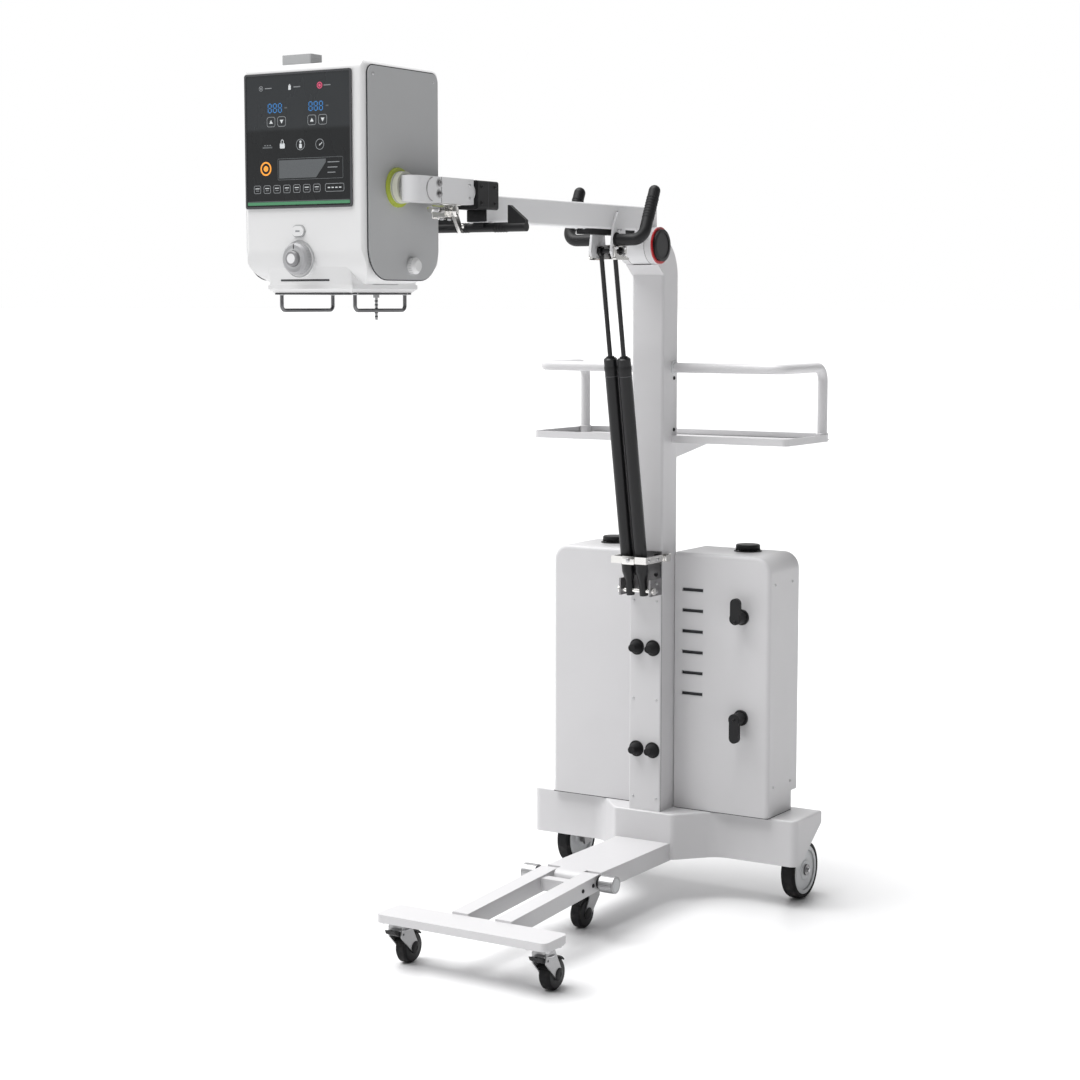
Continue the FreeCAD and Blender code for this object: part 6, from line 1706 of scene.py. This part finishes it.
@dataclass
class Cabinets:
    """The two cabinets: vents, seams, screws, caps and the cord hooks' feet."""

    repeats: Repeats
    inner: float = 40.0
    outer: float = 265.0
    front: float = 22.0
    rear: float = 162.0
    top: float = 750.0
    vent: Flat = (83.0, 447.0)
    hook_x: float = 200.0
    cap: Flat = (165.0, 118.0)
    body: str = "stand"

    def build(self) -> None:
        """Make every piece of the cabinets."""
        repeats = self.repeats
        Form().slab((52.0, self.front + 5.0, 436.0), (114.0, self.front + 8.0, 682.0), 0.8).done(
            "vent_screen", Finishes.SEAL, self.body)
        lip = repeats.slat("vent_lip", (52.0, 1.5, 1.2), 0.3)
        for label, rise in (("upper", 4.1), ("lower", -4.1)):
            repeats.row("vent_lips_" + label, lip, 6, (self.vent[0], self.front - 0.3, self.vent[1] + rise),
                        (0.0, 0.0, 44.8), Finishes.HUB_GREY, self.body)
        for side, name in SIDES:
            self._rear_panel(side, name)
            self._foot(side, name)
            self._cap(side, name)
        feet = Form()
        for z in (621.0, 406.0):
            feet.lathe([(13.0, 0.0), (17.0, 0.0), (17.0, 2.0), (15.6, 3.4), (13.0, 3.4)], "-Y",
                       (self.hook_x, self.front, z), 32)
        feet.done("hook_feet", Finishes.BLACK_PLASTIC, self.body)
        repeats.scatter("hook_screws", repeats.screw(), [(self.hook_x, -12.0, z) for z in (614.0, 406.0)], "-Y",
                        3.6, Finishes.BLACK_COAT, self.body)

    def _rear_panel(self, side: float, name: str) -> None:
        """The rear panel's seam, slots and screws.

        Args:
            side: 1 on the right, -1 on the left.
            name: the side's name.
        """
        low, high = sorted((side * (self.inner + 10.0), side * (self.outer - 10.0)))
        face = self.rear
        outer = round_rect((low, 250.0), (high, self.top - 16.0), 10.0)
        inner = round_rect((low + 1.6, 251.6), (high - 1.6, self.top - 17.6), 8.4)
        Form().sheet(outer, "XZ", face - 0.3, 0.5, inner).done("rear_seam_" + name, Finishes.SEAL, self.body)
        middle = (low + high) / 2.0
        slot = self.repeats.slat("cabinet_slot", (120.0, 1.0, 4.0), 0.4)
        self.repeats.row("rear_slots_" + name, slot, 9, (middle, face, 600.0), (0.0, 0.0, 11.0), Finishes.SEAL,
                         self.body)
        spots = [(x, face, z) for x in (low + 9.0, high - 9.0) for z in (262.0, 490.0, self.top - 28.0)]
        self.repeats.scatter("rear_screws_" + name, self.repeats.screw(), spots, "Y", 3.4, Finishes.STEEL,
                             self.body)
        spots = [(side * self.outer, y, z) for y in (48.0, 130.0) for z in (258.0, 690.0)]
        self.repeats.scatter("side_screws_" + name, self.repeats.screw(), spots, outward(side), 3.2,
                             Finishes.WHITE_PAINT, self.body)

    def _foot(self, side: float, name: str) -> None:
        """The dark joint between the cabinet and the base's top.

        Args:
            side: 1 on the right, -1 on the left.
            name: the side's name.
        """
        low, high = sorted((side * (self.inner + 0.5), side * (self.outer + 0.3)))
        outline = round_rect((low, self.front - 0.4), (high, 136.4), 3.0, 4)
        hole = round_rect((low + 2.0, self.front + 2.0), (high - 2.0, 134.0), 2.0, 4)
        Form().sheet(outline, "XY", 194.0, 1.3, hole).done("foot_joint_" + name, Finishes.SEAL, self.body)

    def _cap(self, side: float, name: str) -> None:
        """A ring round the cable cap and its finger ribs.

        Args:
            side: 1 on the right, -1 on the left.
            name: the side's name.
        """
        x, y = side * self.cap[0], self.cap[1]
        Form().lathe([(26.2, 0.0), (30.0, 0.0), (30.0, 1.4), (28.6, 2.4), (26.2, 2.4)], "Z", (x, y, self.top),
                     48).done("cap_ring_" + name, Finishes.BLACK_PLASTIC, self.body)
        self.repeats.ring("cap_ribs_" + name, 26, 25.6, (1.2, 1.8, 5.0), "Z", (x, y, self.top + 5.4),
                          Finishes.BLACK_PLASTIC, self.body)


@dataclass
class BaseAndLeg:
    """Fittings of the base, the leg and the folding frame."""

    repeats: Repeats
    half: float = 325.0
    hinge_y: float = -345.0
    hinge_z: float = 114.0
    caster: Flat = (164.0, -711.0)
    middle_y: float = -268.0
    plate_low: float = 89.0
    bolt_half: float = 22.0

    def build(self) -> None:
        """Make every piece of the base, leg and folding frame."""
        repeats = self.repeats
        for side, name in SIDES:
            x = side * (self.half - 0.6)
            repeats.scatter("base_screws_" + name, repeats.screw(), [(x, 60.0, 150.0), (x, 120.0, 176.0)],
                            outward(side), 0.9, Finishes.STEEL, "stand")
        repeats.scatter("base_plate_screws", repeats.screw(),
                        [(x, 46.0, 95.0) for x in (-240.0, -80.0, 80.0, 240.0)], "-Z", 4.0, Finishes.STEEL, "stand")
        repeats.scatter("leg_screws", repeats.screw(), [(x, -318.0, 130.0) for x in (-46.0, 46.0)], "Z", 0.45,
                        Finishes.STEEL, "stand")
        self._hinge()
        self._platform()

    def _hinge(self) -> None:
        """Dark spacers, knurls and caps of the clamp knobs, and rail screws."""
        spacers = Form()
        for side, _ in SIDES:
            spacers.lathe([(7.2, 0.6), (12.5, 0.6), (12.5, 5.6), (7.2, 5.6)], outward(side),
                          (side * 68.0, self.hinge_y, self.hinge_z), 24)
        spacers.done("hinge_spacers", Finishes.BLACK_PLASTIC, "stand")
        for side, name in SIDES:
            start = side * 92.0
            self.repeats.ring("hinge_knurls_" + name, 32, 17.4, (0.9, 1.6, 26.0), "X",
                              (start, self.hinge_y, self.hinge_z), Finishes.STEEL, "clamp_" + name)
            Form().lathe([(0.0, 32.0), (13.0, 32.0), (12.0, 33.4), (5.0, 34.0), (0.0, 34.0)],
                         outward(side), (side * 76.0, self.hinge_y, self.hinge_z), 32).done(
                "hinge_cap_" + name, Finishes.HUB_GREY, "clamp_" + name)
            self.repeats.scatter("rail_bolts_" + name, self.repeats.screw(),
                                 [(side * 68.0, -368.0, 112.5), (side * 68.0, -408.0, 110.4)],
                                 outward(side), 4.2, Finishes.BLACK_COAT, "fold")

    def _platform(self) -> None:
        """Bolts of the caster plates below the platform, and weld beads."""
        corners = [(a, b) for a in (-self.bolt_half, self.bolt_half) for b in (-self.bolt_half, self.bolt_half)]
        for name, places, body in (
                ("caster_bolts", [(-self.caster[0], self.caster[1]), self.caster], "fold"),
                ("middle_bolts", [(0.0, self.middle_y)], "stand")):
            spots = [(x + a, y + b, self.plate_low) for x, y in places for a, b in corners]
            self.repeats.scatter(name, self.repeats.bolt(), spots, "-Z", 5.0, Finishes.STEEL, body)
        beads = Form()
        for side, _ in SIDES:
            for x in (31.4, 67.6):
                path = [(side * x, -671.2, 82.0 + 2.0 * step) for step in range(5)]
                beads.tube(path, 1.6, sides=8)
        beads.done("weld_beads", Finishes.WHITE_PAINT, "fold")


@dataclass
class RollingGear:
    """Covers, hubs and bolts of the five wheels."""

    repeats: Repeats
    wheel_y: float = 149.0
    wheel_z: float = 62.5
    wheel_faces: Flat = (266.0, 296.0)
    caster_radius: float = 31.0
    caster: Flat = (164.0, -711.0)
    middle_y: float = -268.0
    trail: float = 29.0

    def build(self) -> None:
        """Make the fittings of rear wheels and casters."""
        for side, name in SIDES:
            self._rear_wheel(side, name)
        x, y = self.caster
        for name, place, way in (("left", (-x, y), 1.0), ("right", (x, y), 1.0),
                                 ("middle", (0.0, self.middle_y), -1.0)):
            self._caster(name, place, way)

    def _rear_wheel(self, side: float, name: str) -> None:
        """Rim rings, side bands, hub disc, axle screw and plate bolts of a rear wheel.

        Args:
            side: 1 on the right, -1 on the left.
            name: the side's name.
        """
        body, axis = "wheel_" + name, outward(side)
        inner, outer = self.wheel_faces
        for label, x, way in (("outer", side * outer, axis), ("inner", side * inner, outward(-side))):
            Form().lathe([(43.5, -0.3), (47.5, -0.3), (47.5, 0.5), (46.5, 1.0), (44.5, 1.0), (43.5, 0.5)], way,
                         (x, self.wheel_y, self.wheel_z), 64).done("rim_ring_%s_%s" % (label, name),
                                                                   Finishes.HUB_GREY, body)
            Form().lathe([(53.5, -0.3), (60.2, -0.3), (59.0, 0.6), (54.5, 0.6)], way,
                         (x, self.wheel_y, self.wheel_z), 64).done("side_band_%s_%s" % (label, name),
                                                                   Finishes.TREAD, body)
        Form().lathe([(22.0, -3.9), (43.0, -3.9), (43.0, -2.6), (41.0, -1.8), (24.0, -1.8), (22.0, -2.6)], axis,
                     (side * outer, self.wheel_y, self.wheel_z), 64).done("hub_disc_" + name, Finishes.HUB_GREY,
                                                                         body)
        self.repeats.scatter("hub_screw_" + name, self.repeats.bolt(),
                             [(side * 300.2, self.wheel_y, self.wheel_z)], axis, 6.5, Finishes.STEEL, "stand")
        self.repeats.scatter("axle_plate_bolts_" + name, self.repeats.bolt(),
                             [(side * 256.0, self.wheel_y - 16.0, 116.0), (side * 256.0, self.wheel_y + 2.0, 122.0)],
                             axis, 4.0, Finishes.STEEL, "stand")

    def _caster(self, name: str, place: Flat, way: float) -> None:
        """The hood over a caster's wheel, its discs, axle covers and swivel ring, and the pedal's ribs.

        Args:
            name: the caster's name.
            place: where its swivel's axis stands.
            way: 1 where the wheel trails to the rear, -1 to the front.
        """
        body = "fork_" + name
        x, y = place
        centre = y + way * self.trail
        outer, inner, half = self.caster_radius + 3.6, self.caster_radius + 1.6, 11.6
        rings = []
        for step in range(21):
            turn = math.radians(28.0 + 112.0 * step / 20.0)
            along, rise = -way * math.cos(turn), math.sin(turn)
            rings.append([(x + side, centre + along * radius, self.caster_radius + rise * radius)
                          for side, radius in ((-half, outer), (half, outer), (half, inner), (-half, inner))])
        Form().loops(rings).done("caster_hood_" + name, Finishes.BLACK_PLASTIC, body)
        for side, label in SIDES:
            axis = outward(side)
            Form().lathe([(8.0, 0.0), (25.5, 0.0), (26.0, 0.3), (24.0, 0.7), (8.0, 0.7)], axis,
                         (x + side * 12.0, centre, self.caster_radius), 40).done(
                "caster_disc_%s_%s" % (name, label), Finishes.BLACK_PLASTIC, "roller_" + name)
            Form().lathe([(0.0, 0.0), (12.5, 0.0), (12.5, 1.0), (10.5, 2.2), (4.5, 2.8), (4.2, 2.0), (0.0, 2.0)], axis,
                         (x + side * 15.9, centre, self.caster_radius), 32).done(
                "axle_cover_%s_%s" % (name, label), Finishes.BLACK_PLASTIC, body)
        Form().lathe([(12.0, 0.0), (20.5, 0.0), (20.5, 1.4), (18.6, 2.6), (12.0, 2.6)], "-Z", (x, y, 74.1),
                     32).done("swivel_ring_" + name, Finishes.STEEL, body)
        if name != "middle":
            bar = self.repeats.slat("pedal_rib", (22.0, 1.4, 1.4), 0.4)
            self.repeats.row("pedal_ribs_" + name, bar, 4, (x, y - 30.5, 75.4), (0.0, 3.4, -0.9),
                             Finishes.BLACK_PLASTIC, "brake_" + name)


@dataclass
class Solids:
    """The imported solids, which keep their shapes and get their finishes."""

    nodes: dict[str, bpy.types.Object]

    def dress(self) -> None:
        """Give each solid its finish."""
        for finish, names in NODE_FINISHES.items():
            for name in names:
                mesh = self.nodes[name].data
                mesh.materials.clear()
                mesh.materials.append(finish.material())
                LOG.info("solid %s: %s", name, finish.value.name)


def main() -> None:
    """Build the scene."""
    logging.basicConfig(level=logging.INFO, format="%(message)s")
    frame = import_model()
    Studio().build()
    Solids(frame["nodes"]).dress()
    repeats = Repeats()
    for assembly in (ControlHead(repeats), BalancedArm(repeats), GasSprings(repeats), ColumnAndTray(repeats),
                     Cabinets(repeats), BaseAndLeg(repeats), RollingGear(repeats)):
        LOG.info("building %s", type(assembly).__name__)
        assembly.build()
    repeats.clear()


if __name__ == "__main__":
    main()
